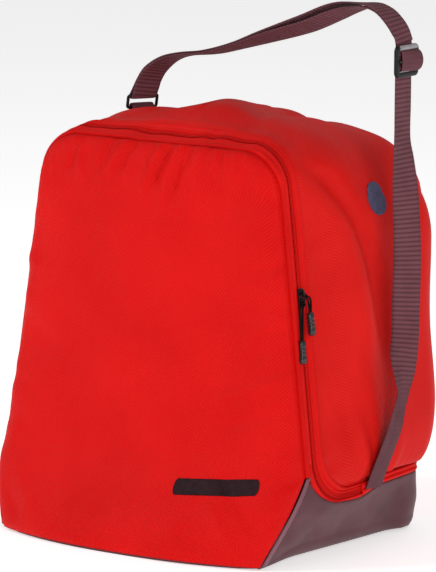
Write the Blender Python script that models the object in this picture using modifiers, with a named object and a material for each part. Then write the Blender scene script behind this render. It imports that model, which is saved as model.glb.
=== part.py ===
"""Ski boot bag: padded front flap, domed hood, coated base tub, two-way zip and adjustable shoulder strap.

Frame: origin on the floor under the middle of the base, +Z up, the front flap faces -Y. Metres.
Run it with blender --background --python part.py, or from Blender's text editor.
"""

from math import atan, cos, pi, radians, sin, sqrt

import bmesh
import bpy
import numpy as np
from mathutils import Matrix, Vector

# ---------------------------------------------------------------- driving dimensions
SEAM_Y = -0.090          # plane of the seam round the front panel
TOE_Y = -0.137           # front corners of the base
TOE_BOW = 0.030          # how far the toe edge bows forward of its corners
BACK_Y = 0.172           # back of the hood
FOOT_BACK_Y = 0.164      # back of the base on the floor
WAIST_Z = 0.097          # top of the base at the front seam
WAIST_HALF = 0.198
TOE_HALF = 0.1714
FOOT_HALF = 0.178        # half width of the base on the floor, at the back
LEAN = 0.134             # how fast the sides lean in, per metre of height
SLUMP = 0.017            # how far the soft hood leans to the right, per metre of height
BACK_TAPER = 0.016       # the hood's waist is this much narrower at the back
FRONT_TOP = 0.437        # top of the front seam
TOP_RISE = 0.036         # rise of the hood's crown behind the front seam
RISE_SHARE = 0.35
TOP_FALL = 0.016         # fall of the crown towards the back
CROWN_DROP = 0.017       # how much lower the shoulders are than a plain arc
CROWN_S = 0.33           # where it is lowest, as a share of the way down the side
CROWN_MIDDLE = 0.4       # how much of the drop the middle has
SHOULDER_FRONT = 0.050
SHOULDER_BACK = 0.100
EDGE_R = 0.045           # rounded edge between hood and back panel
SIDE_PUFF = 0.018        # how far the stuffed sides stand out
BACK_SPREAD = 0.017      # and how much more at the back, near the top
HEM_Z = 0.0764
TUCK_H = 0.090           # height over which the hood tucks in above the hem
LOW_Z = 0.050            # the side lines are defined down to this height
S_TOP, S_SIDE = 0.30, 0.46   # shares of the half section: flat top, then shoulder, then side

FOLD_Z = 0.112           # the flap folds down about this line
FLAP_PUFF = 0.021
PANEL_T = 0.004          # padded panels
SHELL_T = 0.004          # hood fabric and lining
TAPE_T = 0.0012
GAP = 0.0005             # clearance between neighbouring pieces

PIPING_W = 0.0018        # offsets behind the front seam, measured along the gusset
STRIP_W = (0.0058, 0.0100)
TAPE_FRONT_W = (0.0104, 0.0146)
COIL_FRONT_W = (0.0131, 0.0145)
COIL_REAR_W = (0.0155, 0.0169)
TAPE_REAR_W = (0.0154, 0.0196)
FACING_W = (0.0200, 0.0316)
HOOD_W = 0.0320
ZIP_TURN_R = 0.045       # the zip's quarter turn at the foot of each side
ZIP_END_Y = 0.012
BAND_TOP_Z = 0.0646      # heights of the seams on the lower run along the base
COIL_RUN_Z = (0.0653, 0.0665)
TAPE_RUN_Z = (0.0653, 0.0683)
FACING_RUN_Z = (0.0688, 0.0731)
HEM_TURN_R = 0.048

FLOOR_T = 0.0028
WALL_T = 0.003
FOOT_R = 0.016           # rounding of the base's lower edge
FOOT_R_FRONT = 0.004

WEBBING_W = 0.030
WEBBING_T = 0.0016
RING_ROD = 0.00175
BAG_MIDDLE = Vector((0.0, 0.02, 0.25))

RED = (0.62, 0.009, 0.008)
RED_DARK = (0.50, 0.010, 0.009)
PLUM = (0.094, 0.038, 0.047)
WEB_PLUM = (0.110, 0.042, 0.055)
BLACK = (0.012, 0.012, 0.013)
GREY = (0.045, 0.050, 0.055)
BOARD = (0.020, 0.020, 0.022)


# ---------------------------------------------------------------- shape of the bag
def smooth(t):
    t = min(max(t, 0.0), 1.0)
    return t * t * (3 - 2 * t)


def lerp(a, b, t):
    return a + (b - a) * t


def depth(y):
    """Share of the way from the front seam to the back."""
    return min(max((y - SEAM_Y) / (BACK_Y - SEAM_Y), 0.0), 1.0)


def section(y):
    """Top height, shoulder radius and waist half width of the hood's section at y."""
    t = depth(y)
    rise = TOP_RISE * sin(min(t / RISE_SHARE, 1) * pi / 2)
    fall = TOP_FALL * smooth((t - RISE_SHARE) / (1 - RISE_SHARE))
    radius = lerp(SHOULDER_FRONT, SHOULDER_BACK, smooth(t / 0.6))
    return FRONT_TOP + rise - fall, radius, WAIST_HALF - BACK_TAPER * t * t


def tuck(z):
    """0 at the hem, 1 where the hood is at its full width."""
    c = min(max((z - HEM_Z) / TUCK_H, 0.0), 1.0)
    return sqrt(1 - (1 - c) ** 2)


def crown(a):
    """Share of the crown's drop: some in the middle, all at the shoulders, none down the sides."""
    if a < CROWN_S:
        return lerp(CROWN_MIDDLE, 1, smooth(a / CROWN_S))
    return max(0.0, 1 - ((a - CROWN_S) / 0.21) ** 2) ** 2


def puff(y, z, a):
    """How far the stuffed hood stands out from its plain section."""
    t = depth(y)
    side = SIDE_PUFF * smooth((t - 0.12) / 0.33) + BACK_TAPER * t * t
    side *= tuck(z)
    side += BACK_SPREAD * t * t * smooth((z - 0.22) / 0.18)
    side *= smooth((a - 0.25) / 0.25)
    drop = CROWN_DROP * (smooth(t / 0.26) + 0.5 * smooth(t)) * crown(a)
    return side - drop


def skin(y, s, inset=0.0):
    """Outer surface of the hood. s runs from -1, low on the left, over the top to 1, low on the right."""
    a = abs(s)
    top, radius, half = section(y)
    lean = atan(LEAN)
    centre_z = top - radius
    centre_x = half - LEAN * (centre_z - WAIST_Z) - radius / cos(lean)
    if a < S_TOP:
        x, z, nx, nz = centre_x * a / S_TOP, top, 0.0, 1.0
    elif a < S_SIDE:
        turn = (pi / 2 - lean) * (a - S_TOP) / (S_SIDE - S_TOP)
        nx, nz = sin(turn), cos(turn)
        x, z = centre_x + radius * nx, centre_z + radius * nz
    else:
        z = lerp(centre_z + radius * sin(lean), LOW_Z, (a - S_SIDE) / (1 - S_SIDE))
        nx, nz = cos(lean), sin(lean)
        x = half - LEAN * (z - WAIST_Z)
    grow = puff(y, z, a)
    if grow < 0:
        grow *= 1 - 0.75 * min(max(inset, 0) / EDGE_R, 1)
    back = 0.008 * smooth((0.19 - z) / 0.13) * smooth((depth(y) - 0.6) / 0.4)
    x += nx * (grow - inset)
    z += nz * (grow - inset) if a < S_SIDE else -nz * inset * (1 - smooth((0.12 - z) / 0.03))
    return Vector((x if s >= 0 else -x, y - back, z)) + Vector((SLUMP * (z - WAIST_Z), 0, 0))


def s_at(y, z):
    """The value of s where the side is at height z."""
    top, radius, _ = section(y)
    side_top = top - radius + radius * sin(atan(LEAN))
    return S_SIDE + (1 - S_SIDE) * (side_top - z) / (side_top - LOW_Z)


def base_top(y):
    """Height of the base's upper edge along the sides."""
    return 0.058 + 0.039 * np.exp(-(y - SEAM_Y) / 0.022) + 0.008 * smooth(y / 0.06)


def corner(turn):
    """y and inset on the rounded edge between the side and the back panel, turn in degrees."""
    return BACK_Y - EDGE_R + EDGE_R * sin(radians(turn)), EDGE_R * (1 - cos(radians(turn)))


def run_line(w, low, turn_r, z_stop=None, steps=8):
    """Right half of a line at offset w behind the front seam, from its lower end up to the top centre.

    It is a list of (y, s). With z_stop it starts there on the upright; otherwise it follows the
    quarter turn at the bottom and the run along the base out to ZIP_END_Y.
    """
    y0 = SEAM_Y + w
    points = []
    if z_stop is None:
        for y in np.linspace(ZIP_END_Y, y0 + turn_r, 4)[:-1]:
            points.append((y, s_at(y, low)))
        for a in np.linspace(0, pi / 2, steps + 1):
            y = y0 + turn_r * (1 - sin(a))
            points.append((y, s_at(y, low + turn_r * (1 - cos(a)))))
        z_stop = low + turn_r
    else:
        points.append((y0, s_at(y0, z_stop)))
    return points + [(y0, s) for s in reversed(half_shares(s_at(y0, z_stop))[:-1])]


def half_shares(low):
    """Values of s from the top centre down the right side to low, closer together at the hem."""
    flat = list(np.linspace(0, S_TOP, 5))
    shoulder = list(np.linspace(S_TOP, S_SIDE, 7)[1:])
    side = [low + (S_SIDE - low) * t**1.4 for t in np.linspace(1, 0, 10)[1:]]
    return flat + shoulder + side


def both_sides(points):
    """Carries a right half line over the top and down the left."""
    return points + [(y, -s) for y, s in reversed(points[:-1])]


def front_half(z, inset=0.0):
    """Half width of the front face at height z, inset all round."""
    if z < WAIST_Z:
        return TOE_HALF + (WAIST_HALF - TOE_HALF) * sin(z / WAIST_Z * pi / 2) - inset
    lean = atan(LEAN)
    radius = SHOULDER_FRONT - inset
    centre_z = FRONT_TOP - SHOULDER_FRONT
    if z > centre_z + radius * sin(lean):
        centre_x = WAIST_HALF - LEAN * (centre_z - WAIST_Z) - SHOULDER_FRONT / cos(lean)
        return centre_x + sqrt(max(radius**2 - (z - centre_z) ** 2, 0))
    return WAIST_HALF - LEAN * (z - WAIST_Z) - inset


def seam_y(z):
    return SEAM_Y if z > WAIST_Z else TOE_Y + (SEAM_Y - TOE_Y) * (z / WAIST_Z) ** 1.2


def face(a, z, out=0.0, side_inset=0.0):
    """Padded front face. a runs from -1 at the left seam to 1 at the right seam."""
    swell = FLAP_PUFF * min(1, sqrt(max(FRONT_TOP - z, 0) / 0.09))
    swell = lerp(TOE_BOW, swell, smooth(z / 0.11))
    swell *= 1 - abs(a) ** 2.4
    x = a * front_half(z, side_inset) + SLUMP * max(z - WAIST_Z, 0)
    return Vector((x, seam_y(z) - swell - out, z))


# ---------------------------------------------------------------- Blender helpers
for leftover in list(bpy.data.objects):
    bpy.data.objects.remove(leftover)

bag = bpy.data.collections.new("ski_boot_bag")
cutters = bpy.data.collections.new("cutters")
for made in (bag, cutters):
    bpy.context.scene.collection.children.link(made)


def material(name, colour, roughness, metallic=0.0):
    made = bpy.data.materials.new(name)
    made.use_nodes = True
    shader = made.node_tree.nodes["Principled BSDF"]
    shader.inputs["Base Color"].default_value = (*colour, 1)
    shader.inputs["Roughness"].default_value = roughness
    shader.inputs["Metallic"].default_value = metallic
    return made


def place(name, mesh, look):
    made = bpy.data.objects.new(name, mesh)
    mesh.materials.append(material(name, *look))
    bag.objects.link(made)
    return made


def solidify(made, thickness):
    """Gives an open surface its thickness, inwards."""
    shell = made.modifiers.new("thickness", "SOLIDIFY")
    shell.thickness = thickness
    shell.offset = -1
    return made


def panel(name, rows, thickness, look, outward=None):
    """A fabric panel from a grid of points on its outer surface."""
    mesh = bpy.data.meshes.new(name)
    wide = len(rows[0])
    points = [p for row in rows for p in row]
    quads = []
    for r in range(len(rows) - 1):
        for c in range(wide - 1):
            k = r * wide + c
            quads.append((k, k + 1, k + wide + 1, k + wide))
    middle = sum(points, Vector()) / len(points)
    first = quads[len(quads) // 2]
    a, b, d = (Vector(points[i]) for i in (first[0], first[1], first[3]))
    direction = outward or (middle - BAG_MIDDLE)
    if (b - a).cross(d - a).dot(direction) < 0:
        quads = [tuple(reversed(q)) for q in quads]
    mesh.from_pydata(points, [], quads)
    mesh.shade_smooth()
    return solidify(place(name, mesh, look), thickness)


def strip(name, line_a, line_b, thickness, look, inset=0.0, across=2):
    """A strip of the gusset between two lines of (y, s)."""
    rows = []
    for k in range(across):
        t = k / (across - 1)
        rows.append([
            skin(lerp(a[0], b[0], t), lerp(a[1], b[1], t), inset)
            for a, b in zip(line_a, line_b)
        ])
    count = len(rows[0])
    out = rows[0][count // 2] - BAG_MIDDLE
    top = rows[0][count // 2]
    made = panel(name, rows, thickness, look, outward=None if count < 3 else None)
    fix_direction(made, top, out)
    return made


def fix_direction(made, near, outward):
    """Turns the faces over if the one nearest to the point near looks inwards."""
    mesh = made.data
    best = min(mesh.polygons, key=lambda f: (f.center - near).length)
    if best.normal.dot(outward) < 0:
        mesh.flip_normals()


def closed_loft(name, rings, look):
    """A solid through rings of equal point count, with flat ends."""
    bm = bmesh.new()
    made = [[bm.verts.new(p) for p in ring] for ring in rings]
    count = len(rings[0])
    for lower, upper in zip(made, made[1:]):
        for k in range(count):
            j = (k + 1) % count
            bm.faces.new((lower[k], lower[j], upper[j], upper[k]))
    bm.faces.new(list(reversed(made[0])))
    bm.faces.new(made[-1])
    bmesh.ops.recalc_face_normals(bm, faces=bm.faces)
    mesh = bpy.data.meshes.new(name)
    bm.to_mesh(mesh)
    bm.free()
    return place(name, mesh, look)


def tube(name, points, radius, look, cyclic=False, sides=2):
    """A round rod along a line of points."""
    curve = bpy.data.curves.new(name, "CURVE")
    curve.dimensions = "3D"
    curve.bevel_depth = radius
    curve.bevel_resolution = sides
    curve.use_fill_caps = not cyclic
    spline = curve.splines.new("POLY")
    spline.points.add(len(points) - 1)
    for slot, p in zip(spline.points, points):
        slot.co = (*p, 1)
    spline.use_cyclic_u = cyclic
    made = place(name, curve, look)
    made.modifiers.new("weld", "WELD").merge_threshold = 0.00002
    return made


def block(name, size, where, look, bevel=0.0, turn=None):
    """A box with rounded edges, turned by a matrix and moved to its place."""
    bm = bmesh.new()
    bmesh.ops.create_cube(bm, size=1)
    bmesh.ops.scale(bm, vec=size, verts=bm.verts)
    if bevel:
        bmesh.ops.bevel(bm, geom=list(bm.edges), offset=bevel, segments=2, affect="EDGES", profile=0.5)
    mesh = bpy.data.meshes.new(name)
    bm.to_mesh(mesh)
    bm.free()
    made = place(name, mesh, look)
    made.matrix_world = Matrix.Translation(where) @ (turn.to_4x4() if turn else Matrix())
    return made


def flat_outline(name, outline, low, thickness, look):
    """A flat plate lying on the height low."""
    mesh = bpy.data.meshes.new(name)
    mesh.from_pydata([(x, y, low + thickness) for x, y in outline], [], [list(range(len(outline)))])
    if mesh.polygons[0].normal.z < 0:
        mesh.flip_normals()
    return solidify(place(name, mesh, look), thickness)


def join_into(made, other):
    """Boolean union of other into made."""
    cut = made.modifiers.new("join", "BOOLEAN")
    cut.operation = "UNION"
    cut.solver = "EXACT"
    cut.object = other
    hide_as_guide(other)


def hide_as_guide(other):
    bag.objects.unlink(other)
    cutters.objects.link(other)
    other.hide_render = True
    other.display_type = "WIRE"


red = (RED, 0.55)
red_dark = (RED_DARK, 0.6)
plum = (PLUM, 0.42)
webbing = (WEB_PLUM, 0.8)
black = (BLACK, 0.35)
dark_cord = (BLACK, 0.8)
grip_grey = (GREY, 0.5)


# ---------------------------------------------------------------- front face
def front_face():
    side_inset = 0.0032
    across = [sin(t * pi / 2) for t in np.linspace(-1, 1, 17)]
    toe_heights = np.linspace(FLOOR_T + 0.0026, FOLD_Z - GAP, 9)
    toe = [[face(a, z, side_inset=side_inset) for a in across] for z in toe_heights]
    panel("front_toe_panel", toe, PANEL_T, red, Vector((0, -1, 0)))
    low = list(np.linspace(FOLD_Z + GAP, FRONT_TOP - SHOULDER_FRONT, 9))
    turns = np.linspace(0, pi / 2 - 0.20, 7)[1:]
    high = [FRONT_TOP - SHOULDER_FRONT + (SHOULDER_FRONT - side_inset) * sin(a) for a in turns]
    flap = [[face(a, z, side_inset=side_inset) for a in across] for z in low + high]
    panel("front_panel", flap, PANEL_T, red, Vector((0, -1, 0)))


def front_piping():
    points = both_sides(run_line(PIPING_W, 0, 0, z_stop=FOLD_Z + 0.003))
    tube("front_piping", [skin(y, s, 0.0002) for y, s in points], 0.0021, red_dark)


def front_mark():
    """A blank printed bar low on the front, on the right."""
    low, high, left, right = 0.064, 0.082, 0.24, 0.84
    rows = [[face(a, z, out=0.0009) for a in np.linspace(left, right, 9)] for z in np.linspace(low, high, 3)]
    panel("front_mark", rows, 0.0005, (BLACK, 0.5), Vector((0, -1, 0)))


# ---------------------------------------------------------------- zip and gusset
def upright(w):
    """A line of the flap's half, from the fold up and over."""
    return both_sides(run_line(w, 0, 0, z_stop=FOLD_Z + 0.0006))


def full_run(w, low, turn_r):
    return both_sides(run_line(w, low, turn_r))


def zip_and_gusset():
    strip("front_strip", upright(STRIP_W[0]), upright(STRIP_W[1]), 0.003, red)
    strip("zip_tape_front", upright(TAPE_FRONT_W[0]), upright(TAPE_FRONT_W[1]), TAPE_T, red_dark, inset=0.0006)
    strip("zip_coil_front", upright(COIL_FRONT_W[0]), upright(COIL_FRONT_W[1]), 0.0013, red_dark, inset=0.0024)

    def rear(name, widths, lows, thickness, inset=0.0):
        lines = []
        for w, low in zip(widths, lows):
            share = (w - 0.015) / (HOOD_W - 0.015)
            lines.append(full_run(w, low, lerp(ZIP_TURN_R, HEM_TURN_R, share)))
        strip(name, lines[0], lines[1], thickness, red_dark if inset else red, inset)

    rear("zip_tape_rear", TAPE_REAR_W, TAPE_RUN_Z, TAPE_T, 0.0006)
    rear("zip_coil_rear", COIL_REAR_W, COIL_RUN_Z, 0.0013, 0.0024)
    rear("zip_facing", FACING_W, FACING_RUN_Z, 0.003)


def edge_depths():
    """Places along the side, from the zip's end forward, where the base's upper edge is sampled."""
    return [lerp(ZIP_END_Y, SEAM_Y + STRIP_W[0], t**0.75) for t in np.linspace(0, 1, 12)]


def lower_bands():
    """The sewn bands under the zip's lower runs, between the zip and the base."""
    for side, name in ((1, "lower_band_right"), (-1, "lower_band_left")):
        upper = run_line(0.0146, BAND_TOP_Z, ZIP_TURN_R)[:12]
        lower = [(y, s_at(y, base_top(y) + GAP)) for y in edge_depths()]
        upper.append((SEAM_Y + 0.0146, s_at(SEAM_Y + 0.0146, FOLD_Z - GAP)))
        lower.append((SEAM_Y + STRIP_W[0], s_at(SEAM_Y + STRIP_W[0], FOLD_Z - GAP)))
        rows = []
        for t in (0, 0.5, 1):
            rows.append([
                skin(lerp(a[0], b[0], t), side * lerp(a[1], b[1], t)) for a, b in zip(upper, lower)
            ])
        panel(name, rows, 0.003, red, Vector((side, -0.2, 0)))


# ---------------------------------------------------------------- hood and back
TURNS = (24, 46, 65, 80, 90)


def hood_low(y):
    """Lower edge of the hood panel at y."""
    centre = SEAM_Y + HOOD_W + HEM_TURN_R
    low = FACING_RUN_Z[1] + GAP
    if y < centre:
        return low + HEM_TURN_R - sqrt(max(HEM_TURN_R**2 - (y - centre) ** 2, 0))
    return low + 0.0025 * smooth((y - ZIP_END_Y) / 0.06)


def hood_shell():
    stations = []
    for a in np.linspace(0.0, pi / 2, 9):
        stations.append((SEAM_Y + HOOD_W + HEM_TURN_R * (1 - cos(a)), 0.0))
    for y in np.linspace(stations[-1][0], BACK_Y - EDGE_R, 7)[1:]:
        stations.append((y, 0.0))
    stations += [corner(turn) for turn in TURNS]
    rows = []
    for y, inset in stations:
        half = half_shares(s_at(y, hood_low(y)))
        row = [skin(y, -s, inset) for s in reversed(half[1:])] + [skin(y, s, inset) for s in half]
        rows.append(row)
    made = panel("hood_shell", rows, SHELL_T, red, Vector((0, 0, 1)))
    fix_direction(made, skin(0.0, 0.0), Vector((0, 0, 1)))


def back_panel():
    """The back, slightly domed: rows across, from the base's edge up to the rounded edge of the hood."""
    y, inset = corner(90)
    inset += 0.0032
    crest = skin(y, S_TOP, inset).z
    shares = [s_at(y, base_top(y) + GAP), *reversed(half_shares(s_at(y, hood_low(y))))]
    shares = [s for s in shares if s > S_TOP and skin(y, s, inset).z < crest - 0.003] + [S_TOP]
    crown = [skin(y, s, inset) for s in np.linspace(-S_TOP, S_TOP, 9)]
    low, high = skin(y, shares[0], inset).z, crown[0].z
    rows = []
    for s in shares:
        left, right = skin(y, -s, inset), skin(y, s, inset)
        row = []
        for k in range(9):
            u = k / 8
            p = left.lerp(right, u)
            rise = (p.z - low) / (high - low)
            p.z += (crown[k].z - lerp(crown[0].z, crown[8].z, u)) * rise**4
            p.y += 0.011 * (1 - (2 * u - 1) ** 4) * smooth((p.z - low) / 0.06) * smooth((0.93 - rise) / 0.15)
            row.append(p)
        rows.append(row)
    panel("back_panel", rows, SHELL_T, red, Vector((0, 1, 0)))


def hem_bands():
    """Narrow bands between the base and the hood, from the zip's ends to the back."""
    for side, name in ((1, "hem_band_right"), (-1, "hem_band_left")):
        stations = [(y, 0.0) for y in np.linspace(ZIP_END_Y + GAP, BACK_Y - EDGE_R, 7)]
        stations += [corner(turn) for turn in TURNS]
        rows = []
        for t in (0, 1):
            row = []
            for y, inset in stations:
                z = lerp(base_top(y) + GAP, hood_low(y) - GAP, t)
                row.append(skin(y, side * s_at(y, z), inset))
            rows.append(row)
        panel(name, rows, 0.003, red, Vector((side, 0, 0)))


def side_mark():
    """A blank printed disc high on the right side."""
    centre_y, centre_z, radius = 0.059, 0.373, 0.016
    rows = []
    for v in np.linspace(-0.96, 0.96, 9):
        z = centre_z + radius * v
        row = []
        for u in np.linspace(-1, 1, 7):
            y = centre_y + radius * u * sqrt(1 - v * v)
            row.append(skin(y, s_at(y, z), -0.0009))
        rows.append(row)
    panel("side_mark", rows, 0.0005, ((0.07, 0.07, 0.09), 0.5), Vector((1, 0, 0)))


# ---------------------------------------------------------------- base tub
def tub_stations():
    """Right half of the base: pairs of upper edge point, foot point, foot radius and outward direction."""
    made = []
    start = SEAM_Y + STRIP_W[0]
    depths = list(reversed(edge_depths())) + list(np.linspace(ZIP_END_Y, BACK_Y - EDGE_R, 6)[1:])
    for y in depths:
        t = (y - start) / (BACK_Y - EDGE_R - start)
        top = skin(y, s_at(y, base_top(y) - GAP))
        foot_y = lerp(TOE_Y + STRIP_W[0] + 0.0016, FOOT_BACK_Y - EDGE_R, t)
        foot = Vector((lerp(TOE_HALF, FOOT_HALF, smooth(t)), foot_y, 0))
        made.append((top, foot, lerp(FOOT_R_FRONT, FOOT_R, smooth(t / 0.3)), Vector((1, 0, 0))))
    for turn in TURNS:
        y, inset = corner(turn)
        top = skin(y, s_at(y, base_top(y) - GAP), inset)
        c, s = cos(radians(turn)), sin(radians(turn))
        foot = Vector((FOOT_HALF - EDGE_R + EDGE_R * c, FOOT_BACK_Y - EDGE_R + EDGE_R * s, 0))
        made.append((top, foot, FOOT_R, Vector((c, s, 0))))
    top, foot, radius, out = made[-1]
    for t in (0.35, 0.7, 1.0):
        made.append((Vector((top.x * (1 - t), top.y, top.z)), Vector((foot.x * (1 - t), foot.y, 0)), radius, out))
    return made


def mirrored(v):
    return Vector((-v.x, v.y, v.z))


def base_wall():
    columns = []
    for top, foot, radius, out in tub_stations():
        knee = foot + Vector((0, 0, radius))
        centre = knee - out * radius
        drop = Vector((0.0, 0.0, -min(0.004, 0.1 * (top.z - knee.z))))
        column = [top] + [(top + drop).lerp(knee, t) for t in (0, 0.34, 0.67)]
        for turn in np.linspace(0, 90, 5):
            a = radians(turn)
            column.append(centre + out * radius * cos(a) - Vector((0, 0, radius * sin(a))))
        column[-1] = column[-1] + Vector((0, 0, 0.0001))
        columns.append(column)
    left = [[mirrored(p) for p in column] for column in reversed(columns[:-1])]
    panel("base_wall", columns + left, WALL_T, plum, Vector((0, 1, 0)))


def floor_outline(inset, front_inset):
    """Outline of a plate inside the base's rounded foot."""
    right = []
    for _, foot, radius, out in tub_stations():
        right.append(foot - out * (radius + inset))
    toe = []
    corner_x = TOE_HALF - FOOT_R_FRONT - inset
    for k in range(0, 9):
        a = lerp(0, 1, k / 9)
        toe.append((corner_x * a, TOE_Y - TOE_BOW * (1 - a**2.4) + front_inset))
    half = toe + [(p.x, max(p.y, TOE_Y + front_inset)) for p in right[:-1]]
    return half + [(-x, y) for x, y in reversed(half[1:])]


def base():
    base_wall()
    flat_outline("base_floor", floor_outline(0.0016, 0.002), 0.0, FLOOR_T, plum)
    flat_outline("base_board", floor_outline(0.0085, 0.020), FLOOR_T + WALL_T + 0.0012, 0.003, (BOARD, 0.7))


# ---------------------------------------------------------------- strap
ANCHOR = Vector((0.2012, 0.0310, 0.0648))
RING_LOW = Vector((-0.1360, 0.0640, 0.4470))
RING_WIDE = Vector((0.47, 0.88, 0.0)).normalized()
RING_UP = Vector((0.22, -0.1175, 1.0)).normalized()
RING_H = 0.0140
RING_HALF = 0.0176
SLIDE_X, SLIDE_Y = 0.2290, 0.0365    # the straight stretch the adjuster slides on
ADJUSTER_Z = 0.5290


def bearing(degrees):
    return (cos(radians(degrees)), sin(radians(degrees)), 0)


STRAP_ROUTE = [  # centre of the webbing and the way its width runs, from the base up and over to the ring
    (ANCHOR, bearing(-90)),
    (Vector((0.2100, 0.0320, 0.0845)), bearing(-90)),
    (Vector((0.2185, 0.0325, 0.1090)), bearing(-89)),
    (Vector((0.2240, 0.0355, 0.1320)), bearing(-84)),
    (Vector((0.2245, 0.0400, 0.1555)), bearing(-66)),
    (Vector((0.2256, 0.0435, 0.1730)), bearing(-38)),
    (Vector((0.2275, 0.0445, 0.1900)), bearing(-12)),
    (Vector((0.2287, 0.0450, 0.2070)), bearing(6)),
    (Vector((0.2297, 0.0457, 0.2272)), bearing(18)),
    (Vector((0.2317, 0.0440, 0.2714)), bearing(36)),
    (Vector((0.2332, 0.0427, 0.3251)), bearing(46)),
    (Vector((0.2322, 0.0400, 0.3796)), bearing(56)),
    (Vector((0.2305, 0.0375, 0.4200)), bearing(76)),
    (Vector((SLIDE_X, SLIDE_Y, 0.4450)), bearing(90)),
    (Vector((SLIDE_X, SLIDE_Y, 0.4800)), bearing(90)),
    (Vector((SLIDE_X, SLIDE_Y, 0.5150)), bearing(90)),
    (Vector((SLIDE_X, SLIDE_Y, 0.5480)), bearing(90)),
    (Vector((0.2245, 0.0350, 0.5600)), (0.05, 1, 0)),
    (Vector((0.2160, 0.0340, 0.5710)), (0.08, 1, 0)),
    (Vector((0.2040, 0.0340, 0.5800)), (0.06, 1, 0)),
    (Vector((0.1864, 0.0350, 0.5835)), (0.02, 1, -0.02)),
    (Vector((0.1626, 0.0360, 0.5785)), (0.05, 1, -0.24)),
    (Vector((0.1397, 0.0370, 0.5702)), (0.10, 1, -0.38)),
    (Vector((0.1070, 0.0390, 0.5569)), (0.12, 1, -0.42)),
    (Vector((0.0789, 0.0410, 0.5482)), (0.12, 1, -0.42)),
    (Vector((0.0457, 0.0440, 0.5386)), (0.12, 1, -0.36)),
    (Vector((0.0093, 0.0470, 0.5271)), (0.10, 1, -0.20)),
    (Vector((-0.0305, 0.0500, 0.5165)), (0.10, 1, -0.14)),
    (Vector((-0.0697, 0.0540, 0.5108)), (0.14, 1, -0.10)),
    (Vector((-0.0930, 0.0560, 0.5036)), (0.24, 1, -0.10)),
    (Vector((-0.1122, 0.0580, 0.4907)), (0.42, 1, -0.10)),
    (Vector((-0.1224, 0.0600, 0.4784)), (0.50, 1, -0.06)),
]


def spline(points, per_step):
    """Catmull-Rom line through points."""
    padded = [2 * points[0] - points[1]] + list(points) + [2 * points[-1] - points[-2]]
    line = []
    for k in range(1, len(padded) - 2):
        p0, p1, p2, p3 = padded[k - 1:k + 3]
        for j in range(per_step):
            t = j / per_step
            line.append(
                0.5 * (2 * p1 + (p2 - p0) * t + (2 * p0 - 5 * p1 + 4 * p2 - p3) * t * t
                       + (3 * p1 - p0 - 3 * p2 + p3) * t**3)
            )
    line.append(padded[-2])
    return line


def ribbon(name, line, wides, look, width=WEBBING_W, thickness=WEBBING_T):
    """Webbing along a line of points, with the direction of its width at each."""
    rings = []
    for k, p in enumerate(line):
        ahead = line[min(k + 1, len(line) - 1)] - line[max(k - 1, 0)]
        ahead.normalize()
        wide = wides[k] - ahead * wides[k].dot(ahead)
        wide.normalize()
        thick = ahead.cross(wide) * thickness / 2
        wide = wide * width / 2
        rings.append([p - wide - thick, p + wide - thick, p + wide + thick, p - wide + thick])
    return closed_loft(name, rings, look)


def strap_lines():
    """The webbing's centre line and width directions, and the same for the layer above it."""
    points = [p for p, _ in STRAP_ROUTE]
    wides = [Vector(w).normalized() for _, w in STRAP_ROUTE]
    bar = RING_LOW + RING_UP * RING_H
    loop_r = RING_ROD + 0.0012
    inner = RING_WIDE.cross(RING_UP)
    if inner.x < 0:
        inner = -inner
    turn = [bar + (inner * cos(a) - RING_UP * sin(a)) * loop_r for a in np.linspace(0, pi, 6)]
    line = spline(points, 2) + turn
    widths = spline(wides, 2) + [RING_WIDE.copy()] * len(turn)
    line.append(turn[-1] + RING_UP * 0.0015)
    widths.append(RING_WIDE.copy())
    return line, widths, points, wides, inner, bar, loop_r


def strap():
    line, widths, points, wides, inner, bar, loop_r = strap_lines()
    ribbon("strap_webbing", line, widths, webbing)
    first = 17
    upper, upper_wides = [], []
    for k in range(first, len(points)):
        ahead = (points[min(k + 1, len(points) - 1)] - points[k - 1]).normalized()
        wide = (wides[k] - ahead * wides[k].dot(ahead)).normalized()
        up = ahead.cross(wide)
        if up.dot(points[k] - Vector((0.02, 0.04, 0.40))) < 0:
            up = -up
        share = (k - first) / (len(points) - 1 - first)
        lift = 0.0026 + 0.0050 * sin(pi * share) ** 1.2
        upper.append(points[k] + up * lift)
        upper_wides.append(wide if wide.y > 0 else -wide)
    end = bar - inner * loop_r + RING_UP * 0.0040
    upper.append(end)
    upper_wides.append(RING_WIDE.copy())
    ribbon("strap_return", spline(upper, 2), spline(upper_wides, 2), webbing)


def rounded_rectangle(middle, wide, up, half, height, radius, steps=4):
    points = []
    for sx, sz, start in ((1, 1, 0), (-1, 1, 90), (-1, -1, 180), (1, -1, 270)):
        for k in range(steps):
            a = radians(start + 90 * k / (steps - 1))
            points.append(
                middle + wide * (sx * (half - radius) + radius * cos(a))
                + up * (sz * (height / 2 - radius) + radius * sin(a))
            )
    return points


def ring_and_tab():
    middle = RING_LOW + RING_UP * RING_H / 2
    tube("strap_ring", rounded_rectangle(middle, RING_WIDE, RING_UP, RING_HALF, RING_H, 0.0022), RING_ROD, black, True)
    across = RING_WIDE.cross(RING_UP).normalized()
    reach, width = 0.0050, 0.020
    foot = tab_foot()
    path = [foot - across * reach]
    for a in np.linspace(-0.1, pi + 0.1, 10):
        path.append(RING_LOW - across * reach * cos(a) + RING_UP * reach * sin(a))
    path.append(foot + across * reach)
    ribbon("strap_tab", path, [RING_WIDE.copy()] * len(path), webbing, width=width, thickness=0.0013)


def tab_foot():
    """Where the tab meets the hood's left shoulder."""
    best = min(
        (skin(RING_LOW.y, -s) for s in np.linspace(0.2, 0.7, 101)),
        key=lambda p: abs(p.x - RING_LOW.x + 0.001),
    )
    return best + Vector((0, 0, 0.0095))


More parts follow.
